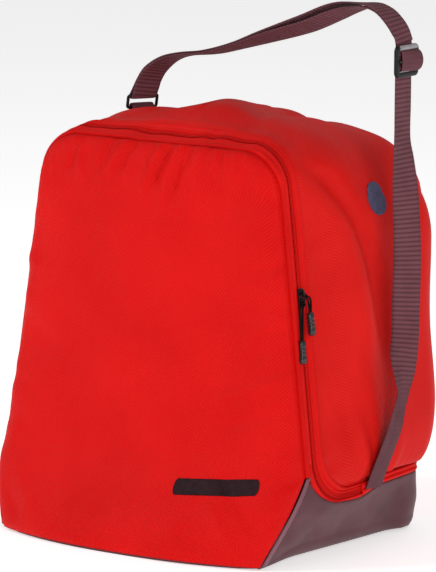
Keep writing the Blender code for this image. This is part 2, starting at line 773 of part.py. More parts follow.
# ---------------------------------------------------------------- slide adjuster
def adjuster():
    half, height, rod = 0.0190, 0.0340, 0.0022
    out = WEBBING_T / 2 + rod + 0.0008
    middle = Vector((SLIDE_X + out, SLIDE_Y, ADJUSTER_Z))
    wide, up = Vector((0, 1, 0)), Vector((0, 0, 1))
    frame_bars = rounded_rectangle(middle, wide, up, half, height, 0.005)
    tube("adjuster_frame", frame_bars, rod, black, True, sides=3)
    bar = [middle + wide * y + Vector((0.0010, 0, 0)) for y in (-half + rod + 0.0006, half - rod - 0.0006)]
    tube("adjuster_bar", bar, 0.0018, black, sides=3)
    rings = []
    outer_x, outer_z, thickness = 0.0062, 0.0105, WEBBING_T
    for k in range(25):
        a = radians(-150 + 300 * k / 24)
        spoke = Vector((cos(a), 0, sin(a)))
        near = middle + Vector((spoke.x * (outer_x - thickness), 0, spoke.z * (outer_z - thickness)))
        far = middle + Vector((spoke.x * outer_x, 0, spoke.z * outer_z))
        near.x = max(near.x, SLIDE_X + WEBBING_T / 2 + 0.0006)
        far.x = max(far.x, near.x if abs(a) > pi / 2 else far.x)
        side = wide * 0.0135
        rings.append([near - side, near + side, far + side, far - side])
    closed_loft("adjuster_loop", rings, webbing)


# ---------------------------------------------------------------- zip sliders and pulls
ZIP_Y = SEAM_Y + 0.015
SLIDER_LEN = 0.0086
UPPER_Z, LOWER_Z = 0.2890, 0.2796


def zip_point(z, out=0.0):
    """On the right upright of the zip at height z, out from the skin."""
    return skin(ZIP_Y, s_at(ZIP_Y, z), -out)


def zip_frame():
    """Axes of a slider: out from the bag, along the gusset, and up the zip."""
    up = (zip_point(0.30) - zip_point(0.25)).normalized()
    back = Vector((0, 1, 0))
    out = back.cross(up).normalized()
    return out, back, up


def slider(name, z):
    out, back, up = zip_frame()
    turn = Matrix((out, back, up)).transposed()
    plate = block(name, (0.0018, 0.0084, SLIDER_LEN), zip_point(z, 0.0016), black, 0.0004, turn)
    for k, shift in enumerate((-0.0025, 0.0025)):
        leg = block(f"{name}_leg_{k}", (0.0036, 0.0022, 0.0012), zip_point(z, 0.0038) + up * shift, black, 0, turn)
        join_into(plate, leg)
    bridge = block(f"{name}_bridge", (0.0012, 0.0022, 0.0062), zip_point(z, 0.0058), black, 0, turn)
    join_into(plate, bridge)


def pull(name, z, bend, knee, grip_top, grip_end):
    """A cord loop through the slider's bridge, and its moulded grip."""
    out, back, up = zip_frame()
    hole = zip_point(z, 0.0038)
    strands = []
    for side in (-1, 1):
        strands.append([
            hole + back * side * 0.0026,
            hole + back * side * 0.0026 + bend,
            hole + back * side * 0.0024 + knee,
            grip_top + back * side * 0.0012 - (grip_end - grip_top).normalized() * 0.0004,
        ])
    first = spline(strands[0], 4)
    second = spline(strands[1], 4)
    tube(f"{name}_cord", list(reversed(first)) + second, 0.0008, dark_cord)
    length = (grip_end - grip_top).length
    down = (grip_end - grip_top).normalized()
    side = down.cross(out).normalized()
    turn = Matrix((side.cross(down), side, down)).transposed()
    middle = (grip_top + grip_end) / 2 + down * 0.0006
    block(f"{name}_grip", (0.0040, 0.0078, length), middle, grip_grey, 0.0012, turn)


def sliders():
    out, back, up = zip_frame()
    slider("zip_slider_upper", UPPER_Z)
    slider("zip_slider_lower", LOWER_Z)
    upper = zip_point(UPPER_Z, 0.0038)
    lower = zip_point(LOWER_Z, 0.0038)
    pull("pull_upper", UPPER_Z, out * 0.0030 - up * 0.0034, out * 0.0052 - up * 0.0080 + back * 0.0042,
         upper + out * 0.0058 - up * 0.0200 + back * 0.0046, upper + out * 0.0060 - up * 0.0450 + back * 0.0054)
    pull("pull_lower", LOWER_Z, -up * 0.0042, out * 0.0004 - up * 0.0085 - back * 0.0045,
         lower + out * 0.0006 - up * 0.0390 - back * 0.0058, lower + out * 0.0010 - up * 0.0640 - back * 0.0070)


def zip_stops():
    """Stitched ends of the zip, under its lower runs on both sides."""
    for side, name in ((1, "zip_end_right"), (-1, "zip_end_left")):
        y = ZIP_END_Y + 0.0012
        where = skin(y, side * s_at(y, BAND_TOP_Z + 0.001), 0.0056)
        block(name, (0.0016, 0.0060, 0.0050), where, black, 0.0004)


front_face()
front_piping()
front_mark()
zip_and_gusset()
lower_bands()
hood_shell()
back_panel()
hem_bands()
side_mark()
base()
strap()
ring_and_tab()
adjuster()
sliders()
zip_stops()
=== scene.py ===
"""Looks of the ski boot bag: cloth, zip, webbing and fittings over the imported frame."""

from math import atan, cos, pi, radians, sin, sqrt

import bmesh
import bpy
import numpy as np
from mathutils import Matrix, Vector


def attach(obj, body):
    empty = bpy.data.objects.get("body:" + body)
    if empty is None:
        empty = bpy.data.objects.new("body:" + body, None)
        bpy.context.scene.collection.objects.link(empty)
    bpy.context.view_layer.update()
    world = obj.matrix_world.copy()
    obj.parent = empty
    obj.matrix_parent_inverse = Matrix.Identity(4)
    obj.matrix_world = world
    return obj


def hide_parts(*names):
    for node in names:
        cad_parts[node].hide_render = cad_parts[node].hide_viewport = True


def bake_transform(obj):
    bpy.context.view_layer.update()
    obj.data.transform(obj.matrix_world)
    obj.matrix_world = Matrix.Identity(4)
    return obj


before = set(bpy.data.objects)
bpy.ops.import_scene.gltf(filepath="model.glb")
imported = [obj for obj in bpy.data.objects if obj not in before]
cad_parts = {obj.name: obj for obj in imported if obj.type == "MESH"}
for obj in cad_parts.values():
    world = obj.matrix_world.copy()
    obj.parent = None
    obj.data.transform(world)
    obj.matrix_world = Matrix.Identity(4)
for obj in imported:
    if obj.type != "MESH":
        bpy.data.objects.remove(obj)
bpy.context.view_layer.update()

# ---------------------------------------------------------------- the bag's shape, as in the CAD, in metres
# a place on the hood is (y, s): s is 0 along the middle of the top, S_TOP where the shoulder starts,
# S_SIDE where the side starts and 1 at LOW_Z; it is negative on the left
SEAM_Y, TOE_Y, TOE_BOW = -0.09, -0.137, 0.03
BACK_Y, FOOT_BACK_Y = 0.172, 0.164
WAIST_Z, WAIST_HALF, TOE_HALF, FOOT_HALF = 0.097, 0.198, 0.1714, 0.178
LEAN, SLUMP, BACK_TAPER, FRONT_TOP = 0.134, 0.017, 0.016, 0.437
TOP_RISE, RISE_SHARE, TOP_FALL, CROWN_DROP = 0.036, 0.35, 0.016, 0.017
SHOULDER_FRONT, SHOULDER_BACK, EDGE_R = 0.05, 0.1, 0.045
SIDE_PUFF, BACK_SPREAD, HEM_Z, TUCK_H = 0.018, 0.017, 0.0764, 0.09
LOW_Z, S_TOP, S_SIDE = 0.05, 0.3, 0.46
CROWN_S, CROWN_MIDDLE, FOOT_R, FOOT_R_FRONT = 0.33, 0.4, 0.016, 0.004
FOLD_Z, FLAP_PUFF = 0.112, 0.021
HOOD_W, ZIP_TURN_R, HEM_TURN_R, ZIP_END_Y = 0.032, 0.045, 0.048, 0.012
LEAN_A = atan(LEAN)
HEM_LOW, FRONT_IN, SHELL, PRINT_UP = 0.0736, 0.0012, 0.0035, 0.0006
MIDDLE = (0.0, 0.03, 0.22)


def smooth(t):
    t = np.clip(t, 0, 1)
    return t * t * (3 - 2 * t)


def mix(a, b, t):
    return a + (b - a) * t


def bell(v, middle, width):
    return np.exp(-(((v - middle) / width) ** 2))


def depth(y):
    return np.clip((y - SEAM_Y) / (BACK_Y - SEAM_Y), 0, 1)


def section(y):
    t = depth(y)
    rise = TOP_RISE * np.sin(np.minimum(t / RISE_SHARE, 1) * pi / 2)
    fall = TOP_FALL * smooth((t - RISE_SHARE) / (1 - RISE_SHARE))
    radius = mix(SHOULDER_FRONT, SHOULDER_BACK, smooth(t / 0.6))
    return FRONT_TOP + rise - fall, radius, WAIST_HALF - BACK_TAPER * t * t


def tuck(z):
    c = np.clip((z - HEM_Z) / TUCK_H, 0, 1)
    return np.sqrt(1 - (1 - c) ** 2)


def puff(y, z, a):
    t = depth(y)
    side = SIDE_PUFF * smooth((t - 0.12) / 0.33) + BACK_TAPER * t * t
    side = side * tuck(z) + BACK_SPREAD * t * t * smooth((z - 0.22) / 0.18)
    side = side * smooth((a - 0.25) / 0.25)
    fall = np.maximum(0, 1 - ((a - CROWN_S) / 0.21) ** 2) ** 2
    crown = np.where(a < CROWN_S, mix(CROWN_MIDDLE, 1, smooth(a / CROWN_S)), fall)
    return side - CROWN_DROP * (smooth(t / 0.26) + 0.5 * smooth(t)) * crown


def skin(y, s, inset=0.0):
    """Points of the hood's surface for arrays y and s."""
    y, s, inset = np.broadcast_arrays(np.asarray(y, float), np.asarray(s, float), np.asarray(inset, float))
    a = np.abs(s)
    top, radius, half = section(y)
    centre_z = top - radius
    centre_x = half - LEAN * (centre_z - WAIST_Z) - radius / cos(LEAN_A)
    turn = (pi / 2 - LEAN_A) * np.clip((a - S_TOP) / (S_SIDE - S_TOP), 0, 1)
    flat, side = a < S_TOP, a >= S_SIDE
    nx = np.where(side, cos(LEAN_A), np.sin(turn))
    nz = np.where(side, sin(LEAN_A), np.cos(turn))
    side_z = mix(centre_z + radius * sin(LEAN_A), LOW_Z, (a - S_SIDE) / (1 - S_SIDE))
    x = np.where(flat, centre_x * a / S_TOP, centre_x + radius * nx)
    z = np.where(flat, top, centre_z + radius * nz)
    x = np.where(side, half - LEAN * (side_z - WAIST_Z), x)
    z = np.where(side, side_z, z)
    grow = puff(y, z, a)
    grow = np.where(grow < 0, grow * (1 - 0.75 * np.clip(inset / EDGE_R, 0, 1)), grow)
    back = 0.008 * smooth((0.19 - z) / 0.13) * smooth((depth(y) - 0.6) / 0.4)
    x = x + nx * (grow - inset)
    low = -nz * inset * (1 - smooth((0.12 - z) / 0.03))
    z = np.where(side, z + low, z + nz * (grow - inset))
    x = np.where(s >= 0, x, -x) + SLUMP * (z - WAIST_Z)
    return np.stack([x, y - back, z], -1)


def s_at(y, z):
    top, radius, _ = section(y)
    side_top = top - radius + radius * sin(LEAN_A)
    return S_SIDE + (1 - S_SIDE) * (side_top - z) / (side_top - LOW_Z)


def base_top(y):
    return 0.058 + 0.039 * np.exp(-(y - SEAM_Y) / 0.022) + 0.008 * smooth(y / 0.06)


def corner(turn):
    a = np.radians(turn)
    return BACK_Y - EDGE_R + EDGE_R * np.sin(a), EDGE_R * (1 - np.cos(a))


def front_half(z, inset=0.0):
    radius = SHOULDER_FRONT - inset
    centre_z = FRONT_TOP - SHOULDER_FRONT
    centre_x = WAIST_HALF - LEAN * (centre_z - WAIST_Z) - SHOULDER_FRONT / cos(LEAN_A)
    low = TOE_HALF + (WAIST_HALF - TOE_HALF) * np.sin(np.minimum(z / WAIST_Z, 1) * pi / 2) - inset
    high = centre_x + np.sqrt(np.maximum(radius**2 - (z - centre_z) ** 2, 0))
    straight = WAIST_HALF - LEAN * (z - WAIST_Z) - inset
    return np.where(z < WAIST_Z, low, np.where(z > centre_z + radius * sin(LEAN_A), high, straight))


def face(a, z, inset=0.0):
    """Points of the front for arrays a, across, and z."""
    a, z = np.broadcast_arrays(np.asarray(a, float), np.asarray(z, float))
    swell = FLAP_PUFF * np.minimum(1, np.sqrt(np.maximum(FRONT_TOP - z, 0) / 0.09))
    swell = mix(TOE_BOW, swell, smooth(z / 0.11)) * (1 - np.abs(a) ** 2.4)
    seam = np.where(z > WAIST_Z, SEAM_Y, TOE_Y + (SEAM_Y - TOE_Y) * (np.clip(z, 0, 1) / WAIST_Z) ** 1.2)
    x = a * front_half(z, inset) + SLUMP * np.maximum(z - WAIST_Z, 0)
    return np.stack([x, seam - swell, z], -1)


# ---------------------------------------------------------------- soft relief
rng = np.random.default_rng(7)
LATTICE = rng.uniform(-1, 1, (64, 64))


def noise1(x, row=0):
    """Smooth noise along a line."""
    k = np.floor(x).astype(int)
    f = smooth(x - k)
    return mix(LATTICE[row % 64, k % 64], LATTICE[row % 64, (k + 1) % 64], f)


def noise2(x, y):
    """Smooth noise over a surface."""
    i, j = np.floor(x).astype(int), np.floor(y).astype(int)
    f, g = smooth(x - i), smooth(y - j)
    low = mix(LATTICE[j % 64, i % 64], LATTICE[j % 64, (i + 1) % 64], f)
    high = mix(LATTICE[(j + 1) % 64, i % 64], LATTICE[(j + 1) % 64, (i + 1) % 64], f)
    return mix(low, high, g)


def crease(u, v, a, b, width, ends=0.25):
    """1 along the stroke from a to b, falling to 0 over width, and towards its ends."""
    d = b - a
    length = np.hypot(*d)
    t = ((u - a[0]) * d[0] + (v - a[1]) * d[1]) / length**2
    off = ((u - a[0]) * d[1] - (v - a[1]) * d[0]) / length
    return bell(off, 0, width) * smooth(t / ends) * smooth((1 - t) / ends)


# rows of two ends, width and height, in mm
GATHERS = ((30, 443, 4, 379, 4, -4.4), (21, 443, -6, 375, 5.4, 3.4), (52, 443, 30, 367, 4, -3.8),
           (43, 443, 20, 365, 5, 2.6), (-18, 443, -44, 397, 4, -3.6), (-28, 443, -56, 393, 4.4, 2.6),
           (-48, 443, -70, 393, 4, -3.4), (-90, 443, -112, 387, 4.4, -2.6), (78, 443, 68, 401, 3.6, -3),
           (96, 443, 88, 393, 4, -2.4), (114, 443, 106, 397, 4.4, 1.3), (64, 443, 56, 401, 4, 1.4))
FRONT_FOLDS = ((192, 205, 85, 168, 8, 2.8), (192, 172, 95, 140, 8, -2.8), (190, 268, 120, 240, 8, 2.4),
               (190, 240, 125, 215, 8, -2.4), (-195, 235, -115, 205, 10, -1.5),
               (-195, 300, -140, 290, 9, 1.4), (176, 30, 105, 95, 9, -3.4), (150, 10, 100, 65, 8, 2.6),
               (120, 8, 70, 35, 8, -2.2), (-170, 85, -115, 20, 10, 2), (-176, 55, -135, 10, 8, -1.8),
               (-185, 130, -130, 90, 10, -1.2))
SIDE_FOLDS = ((0, 230, 36, 110, 14, 2), (-30, 180, 0, 95, 9, -1.8), (-14, 165, 16, 82, 8, 2.2),
              (6, 150, 28, 80, 6, -2), (20, 130, 40, 80, 6, 1.6))
TOP_FOLDS = ((-110, 140, 60, 150, 12, 1.6), (-100, 110, 80, 120, 16, -1.8), (-110, -30, 30, -40, 9, -1.2))
BASE_FOLDS = ((-95, 55, -30, 18, 6, -1.8), (-70, 58, 0, 24, 7, 1.5), (-105, 30, -50, 8, 5, 1.3),
              (30, 52, 75, 18, 8, -1.4), (100, 55, 125, 15, 9, 1.3), (-20, 50, 30, 16, 8, -1))


def strokes(u, v, rows, ends=0.25):
    """How far a table of creases stands out."""
    d = 0.0
    for row in np.array(rows) / 1000:
        d = d + row[5] * crease(u, v, row[:2], row[2:4], row[4], ends)
    return d


def upright_x(p):
    """How far p is from the front's middle line, which leans to the right."""
    return p[..., 0] - SLUMP * np.maximum(p[..., 2] - WAIST_Z, 0)


def front_edge(p):
    """How far points p of the front lie inside its outline."""
    x, z = np.abs(upright_x(p)), p[..., 2]
    centre_z = FRONT_TOP - SHOULDER_FRONT
    centre_x = WAIST_HALF - LEAN * (centre_z - WAIST_Z) - SHOULDER_FRONT / cos(LEAN_A)
    straight = np.minimum(front_half(np.minimum(z, centre_z)) - x, FRONT_TOP - z)
    round_off = SHOULDER_FRONT - np.hypot(x - centre_x, z - centre_z)
    return np.maximum(np.where((x > centre_x) & (z > centre_z), round_off, straight), 0)


def pillow(e, rise, reach):
    """A quarter round of that rise, over reach inside a seam."""
    return rise * np.sqrt(1 - (1 - np.clip(e / reach, 0, 1)) ** 2)


def front_relief(p):
    """How far the front cloth stands out at points p."""
    x, z = p[..., 0], p[..., 2]
    half = front_half(z) + 1e-6
    from_right, from_left = half - upright_x(p), half + upright_x(p)
    under = FRONT_TOP - z
    e = front_edge(p)
    d = pillow(e, 0.008, 0.015) * (0.35 + 0.65 * smooth(z / 0.06)) + pillow(z - 0.004, 0.003, 0.01)
    d -= 0.006 * smooth(e / 0.1) * smooth(z / 0.08)
    d += 0.0018 * noise2(x / 0.085 + 3, z / 0.11 + 9) + 0.0008 * noise2(x / 0.035 + 20, z / 0.05)
    gather = noise1((x + 0.25 * under * np.sign(x)) / 0.0125, 3) + 0.5 * noise1((x - 0.2 * under) / 0.006, 5)
    d += 0.002 * gather * bell(under, 0.01, 0.034) * smooth(under / 0.006)
    near_top = smooth((z - 0.36) / 0.05) * bell(under, 0, 0.05) * smooth(under / 0.008)
    d += 0.0012 * near_top * noise1((x - 0.42 * under) / 0.0095, 37)
    d += strokes(x, z, GATHERS, 0.3)
    tall = smooth((z - 0.03) / 0.04) * smooth((0.41 - z) / 0.05)
    d += 0.0026 * noise1((z + 0.35 * from_right) / 0.0135, 11) * bell(from_right, 0, 0.034) * tall
    d += 0.0008 * noise1((z + 0.3 * from_left) / 0.015, 17) * bell(from_left, 0, 0.034) * tall
    d += strokes(x, z, FRONT_FOLDS)
    return d


def hood_relief(p, w):
    """How far the hood stands out at points p, w behind the front seam."""
    x, y, z = p[..., 0], p[..., 1], p[..., 2]
    side = smooth((np.abs(x) - 0.13) / 0.05) * smooth((0.43 - z) / 0.03)
    right = np.where(x > 0, side, 0)
    d = 0.0014 * noise2(y / 0.075 + 5 * np.sign(x), (z + np.abs(x)) / 0.1)
    d += 0.0005 * noise2(y / 0.03, z / 0.04 + 7)
    near = bell(w, 0.034, 0.026)
    d += 0.0022 * noise1((z - 0.4 * y) / 0.015, 23) * near * side
    d += 0.0008 * noise1((x + 0.3 * y) / 0.014, 27) * near * smooth((z - 0.42) / 0.02)
    hem = np.maximum(z - 0.074, 0)
    d += 0.0018 * noise1((y - 0.35 * hem) / 0.012, 31) * bell(hem, 0, 0.03) * side
    valley = y - 0.057 + (1.3 + 4 * (z - 0.3)) * (z - 0.2) * np.abs(z - 0.2)
    reach = smooth((z - 0.16) / 0.08) * smooth((0.445 - z) / 0.05) * right
    d -= 0.0095 * bell(valley, 0, 0.0145) * reach
    d += 0.0034 * bell(valley, -0.036, 0.022) * reach
    d += right * strokes(y, z, SIDE_FOLDS, 0.35)
    d *= 1 - 0.9 * np.exp(-(((y - 0.059) / 0.022) ** 4) - ((z - 0.373) / 0.022) ** 4) * smooth(x / 0.05)
    top = smooth((z - 0.4) / 0.04)
    d += top * strokes(x, y, TOP_FOLDS, 0.3)
    slant = 0.811 * x + 0.584 * y
    d += 0.0075 * top * bell(slant, 0.031, 0.03) * smooth((y + 0.05) / 0.05)
    d += 0.0028 * top * bell(slant, 0.067, 0.013) * smooth((y + 0.02) / 0.05)
    d += 0.005 * top * bell(x, 0.085, 0.028) * bell(y, 0.07, 0.035)
    d -= 0.004 * top * bell(x, 0.105, 0.03) * bell(y, 0.13, 0.03)
    return d


def unit(v):
    return v / np.linalg.norm(v, axis=-1, keepdims=True)


def normals_of(p):
    n = np.cross(np.gradient(p, axis=1), np.gradient(p, axis=0))
    return n / np.maximum(np.linalg.norm(n, axis=-1, keepdims=True), 1e-9)


def outward(p, middle=MIDDLE):
    """Normals of a grid of points, away from middle."""
    n = normals_of(p)
    k = tuple(d // 2 for d in p.shape[:2])
    return n if (p[k] - np.array(middle)) @ n[k] > 0 else -n


def raised(p, d):
    """Points p moved out by d."""
    return p + outward(p) * d[..., None]


# ---------------------------------------------------------------- materials
def nodes_of(name):
    made = bpy.data.materials.new(name)
    made.use_nodes = True
    tree = made.node_tree
    return made, tree, tree.nodes["Principled BSDF"]


def maths(tree, op, a, b=None):
    node = tree.nodes.new("ShaderNodeMath")
    node.operation = op
    for k, v in enumerate((a, b)):
        if isinstance(v, (int, float)):
            node.inputs[k].default_value = v
        elif v is not None:
            tree.links.new(v, node.inputs[k])
    return node.outputs[0]


def plus(tree, a, b):
    return maths(tree, "ADD", a, b)


def times(tree, a, b):
    return maths(tree, "MULTIPLY", a, b)


def settings(node, **values):
    """Sets a node's own sockets; their names have _ for a space."""
    for label, value in values.items():
        node.inputs[label.replace("_", " ")].default_value = value


def uv_axes(tree):
    uv = tree.nodes.new("ShaderNodeUVMap")
    parts = tree.nodes.new("ShaderNodeSeparateXYZ")
    tree.links.new(uv.outputs[0], parts.inputs[0])
    return parts.outputs[0], parts.outputs[1]


def wave(tree, value, pitch):
    """Between 0 and 1, with that pitch."""
    turned = maths(tree, "SINE", times(tree, value, 2 * pi / pitch))
    return plus(tree, times(tree, turned, 0.5), 0.5)


def cloud(tree, size, detail=3.0):
    place = tree.nodes.new("ShaderNodeTexCoord")
    node = tree.nodes.new("ShaderNodeTexNoise")
    settings(node, Scale=1 / size, Detail=detail, Roughness=0.5)
    tree.links.new(place.outputs["Object"], node.inputs["Vector"])
    return node.outputs[0]


def paint(tree, shader, stops, factor):
    """Two colours along factor."""
    ramp = tree.nodes.new("ShaderNodeValToRGB")
    for stop, (at, colour) in zip(ramp.color_ramp.elements, stops):
        stop.position, stop.color = at, (*colour, 1)
    tree.links.new(factor, ramp.inputs[0])
    tree.links.new(ramp.outputs[0], shader.inputs["Base Color"])


def uneven(tree, shader, size, spread, roughness):
    """Roughness that changes slowly by spread."""
    tree.links.new(plus(tree, times(tree, cloud(tree, size), spread), roughness - spread / 2),
                   shader.inputs["Roughness"])


def bump(tree, shader, height, distance, strength=1.0):
    node = tree.nodes.new("ShaderNodeBump")
    settings(node, Distance=distance, Strength=strength)
    tree.links.new(height, node.inputs["Height"])
    tree.links.new(node.outputs[0], shader.inputs["Normal"])


def srgb(*rgb):
    return tuple((c / 255 / 12.92) if c / 255 <= 0.04045 else ((c / 255 + 0.055) / 1.055) ** 2.4 for c in rgb)


def cloth(name, dark, light, pitch, weave="diagonal", depth_m=0.0003, roughness=0.5, sheen=0.03, grain=0.25):
    """Woven cloth: a fine weave in the surface's own length and width, with slow colour changes."""
    made, tree, shader = nodes_of(name)
    u, v = uv_axes(tree)
    if weave == "diagonal":
        one = wave(tree, plus(tree, u, v), pitch)
        two = wave(tree, maths(tree, "SUBTRACT", u, times(tree, v, 0.8)), pitch * 1.15)
        height = times(tree, one, two)
    else:
        height = times(tree, wave(tree, u, pitch), wave(tree, v, pitch))
    tone = plus(tree, times(tree, height, grain), times(tree, cloud(tree, 0.09), 0.9 - grain))
    paint(tree, shader, [(0.15, dark), (0.85, light)], tone)
    uneven(tree, shader, 0.03, 0.12, roughness)
    bump(tree, shader, plus(tree, height, times(tree, cloud(tree, 0.004), 0.5)), depth_m)
    settings(shader, Sheen_Weight=sheen, Sheen_Roughness=0.5, Sheen_Tint=(*light, 1), Specular_IOR_Level=0.07)
    return made


def webbing_look(name, dark, light):
    """Ribbed webbing: ribs across and a fine herringbone, with fainter ribs near the stretch's start."""
    made, tree, shader = nodes_of(name)
    u, v = uv_axes(tree)
    fade = tree.nodes.new("ShaderNodeMapRange")
    tree.links.new(u, fade.inputs["Value"])
    settings(fade, From_Min=0.105, From_Max=0.135, To_Min=0.15, To_Max=1.0)
    rib = times(tree, maths(tree, "POWER", wave(tree, u, 0.005), 0.4), fade.outputs[0])
    rib = plus(tree, rib, times(tree, maths(tree, "SUBTRACT", 1.0, fade.outputs[0]), 0.55))
    fine = wave(tree, plus(tree, u, maths(tree, "PINGPONG", v, 0.003)), 0.0014)
    height = plus(tree, times(tree, rib, 0.8), times(tree, fine, 0.2))
    tone = plus(tree, times(tree, height, 0.62), times(tree, cloud(tree, 0.02), 0.3))
    paint(tree, shader, [(0.1, dark), (0.85, light)], tone)
    settings(shader, Roughness=0.72, Specular_IOR_Level=0.15)
    bump(tree, shader, height, 0.0005)
    return made


def zip_look(name, dark, light):
    """A reversed coil: two rows of stitches over woven tape."""
    made, tree, shader = nodes_of(name)
    u, v = uv_axes(tree)
    height = times(tree, wave(tree, u, 0.0026), wave(tree, v, 0.002))
    paint(tree, shader, [(0.2, dark), (0.8, light)], height)
    settings(shader, Roughness=0.6, Specular_IOR_Level=0.06)
    bump(tree, shader, height, 0.0006)
    return made


def hard(name, colour, roughness, metallic=0.0, coat=0.0, speck=0.0004, shine=0.5):
    """Moulded plastic or painted metal."""
    made, tree, shader = nodes_of(name)
    light = tuple(min(1, c * 1.5 + 0.004) for c in colour)
    paint(tree, shader, [(0.3, colour), (0.8, light)], cloud(tree, 0.006))
    uneven(tree, shader, 0.002, 0.2, roughness)
    settings(shader, Metallic=metallic, Coat_Weight=coat, Specular_IOR_Level=shine)
    bump(tree, shader, cloud(tree, 0.0015), speck, 0.4)
    return made


def coated(name, dark, light):
    """Coated cloth: satin, faint cross grain, soft scuffs."""
    made, tree, shader = nodes_of(name)
    u, v = uv_axes(tree)
    grain = times(tree, wave(tree, u, 0.0016), wave(tree, v, 0.0016))
    tone = plus(tree, times(tree, grain, 0.15), times(tree, cloud(tree, 0.06, 5), 0.85))
    paint(tree, shader, [(0.25, dark), (0.75, light)], tone)
    uneven(tree, shader, 0.02, 0.16, 0.44)
    settings(shader, Specular_IOR_Level=0.25)
    bump(tree, shader, plus(tree, grain, cloud(tree, 0.012)), 0.00025)
    return made


FRONT = cloth("front_cloth", srgb(196, 7, 7), srgb(238, 26, 23), 0.0032, depth_m=0.00042, grain=0.48)
HOOD = cloth("hood_cloth", srgb(194, 16, 13), srgb(236, 38, 33), 0.0028, depth_m=0.0003, grain=0.38)
TRIM = cloth("trim_cloth", srgb(196, 10, 8), srgb(236, 26, 22), 0.0016, "plain", 0.00015, grain=0.3)
TAPE = cloth("zip_tape", srgb(176, 6, 6), srgb(222, 22, 18), 0.0012, "plain", 0.00015, 0.7)
COIL = zip_look("zip_coil", srgb(214, 20, 16), srgb(70, 2, 4))
LINING = cloth("lining", srgb(24, 24, 26), srgb(38, 38, 41), 0.0016, "plain", 0.0001, 0.7, 0.02)
PLUM = coated("base_coated_cloth", srgb(76, 38, 45), srgb(104, 62, 69))
# lighter plum for a painted highlight along the base's front seam
PLUM_PAINTED_HIGHLIGHT = coated("base_seam_highlight_band", srgb(108, 64, 76), srgb(142, 98, 110))
WEB = webbing_look("webbing", srgb(60, 28, 35), srgb(116, 72, 79))
BLACK = hard("black_moulding", srgb(9, 8, 9), 0.34, shine=0.25)
# a light grey used only for painted highlights: thin bars laid over the adjuster's black frame
GREY_PAINTED_HIGHLIGHT = hard("adjuster_painted_highlight", srgb(128, 124, 128), 0.3, coat=0.3)
METAL = hard("slider_metal", srgb(20, 20, 22), 0.38, metallic=0.4)
CORD = cloth("cord", srgb(10, 10, 11), srgb(34, 34, 36), 0.0012, "diagonal", 0.0002, 0.8)
GRIP = hard("pull_grip", srgb(18, 19, 20), 0.24, coat=0.15, speck=0.0014, shine=0.45)
PRINT = hard("print", srgb(34, 16, 20), 0.6, speck=0.0001, shine=0.08)
PRINT_SIDE = hard("print_side", srgb(72, 68, 92), 0.6, speck=0.0001, shine=0.1)
BOARD = hard("board", srgb(38, 38, 40), 0.7)


# ---------------------------------------------------------------- mesh builders
def lengths(p, axis):
    step = np.linalg.norm(np.diff(p, axis=axis), axis=-1)
    step = np.concatenate([np.zeros_like(np.take(step, [0], axis)), step], axis)
    return np.cumsum(step, axis)


def finish_piece(made, body, nodes):
    """Gives a piece its body and hides the CAD nodes it replaces."""
    made.data.shade_smooth()
    if body:
        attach(made, body)
    if nodes:
        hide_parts(*nodes.split())
    return made


def put(name, data):
    made = bpy.data.objects.new(name, data)
    bpy.context.scene.collection.objects.link(made)
    return made


def link(name, mesh, *looks):
    for look in looks:
        mesh.materials.append(look)
    return put(name, mesh)


def lay_uv(mesh, uv):
    """Gives each corner its vertex's pair of uv."""
    layer = mesh.uv_layers.new(name="UVMap")
    loops = np.zeros(len(mesh.loops), int)
    mesh.loops.foreach_get("vertex_index", loops)
    layer.data.foreach_set("uv", np.asarray(uv, float).reshape(-1, 2)[loops].ravel())


def face_out(mesh):
    """Turns a closed mesh's faces outwards."""
    bm = bmesh.new()
    bm.from_mesh(mesh)
    bmesh.ops.recalc_face_normals(bm, faces=bm.faces)
    bm.to_mesh(mesh)
    bm.free()


def sheet_mesh(name, p, look, thickness, body, nodes, n=None, lining=None):
    """A cloth surface from a grid of points, with lengths in metres as its UVs."""
    rows, cols = p.shape[:2]
    mesh = bpy.data.meshes.new(name)
    index = np.arange(rows * cols).reshape(rows, cols)
    quads = np.stack([index[:-1, :-1], index[:-1, 1:], index[1:, 1:], index[1:, :-1]], -1).reshape(-1, 4)
    n = outward(p) if n is None else n
    i, j = min(rows // 2, rows - 2), min(cols // 2, cols - 2)
    facing = np.cross(p[i, j + 1] - p[i, j], p[i + 1, j] - p[i, j])
    if facing @ (n[rows // 2, cols // 2] if np.ndim(n) == 3 else n) < 0:
        quads = quads[:, ::-1]
    mesh.from_pydata(p.reshape(-1, 3).tolist(), [], quads.tolist())
    u, v = lengths(p, 1), lengths(p, 0)
    u = u - u[:, [cols // 2]]
    v = v - v[[0], :]
    lay_uv(mesh, np.stack([u, v], -1))
    made = link(name, mesh, look, *([lining] if lining else []))
    shell = made.modifiers.new("thickness", "SOLIDIFY")
    shell.thickness, shell.offset = thickness, -1
    if lining:
        shell.material_offset = 1
    bake(made)
    return finish_piece(made, body, nodes)


def bake(made):
    """Turns a piece's modifiers into its mesh."""
    graph = bpy.context.evaluated_depsgraph_get()
    mesh = bpy.data.meshes.new_from_object(made.evaluated_get(graph), depsgraph=graph)
    made.modifiers.clear()
    if made.type == "CURVE":
        name = made.name
        bpy.data.objects.remove(made)
        return put(name, mesh)
    made.data = mesh
    return made


def tube(name, points, radius, look, body, nodes, cyclic=False, sides=4):
    curve = bpy.data.curves.new(name, "CURVE")
    curve.dimensions, curve.bevel_depth, curve.bevel_resolution = "3D", radius, sides
    curve.use_fill_caps = not cyclic
    line = curve.splines.new("POLY")
    line.points.add(len(points) - 1)
    for spot, p in zip(line.points, points):
        spot.co = (*p, 1)
    line.use_cyclic_u = cyclic
    curve.materials.append(look)
    return finish_piece(bake(put(name, curve)), body, nodes)


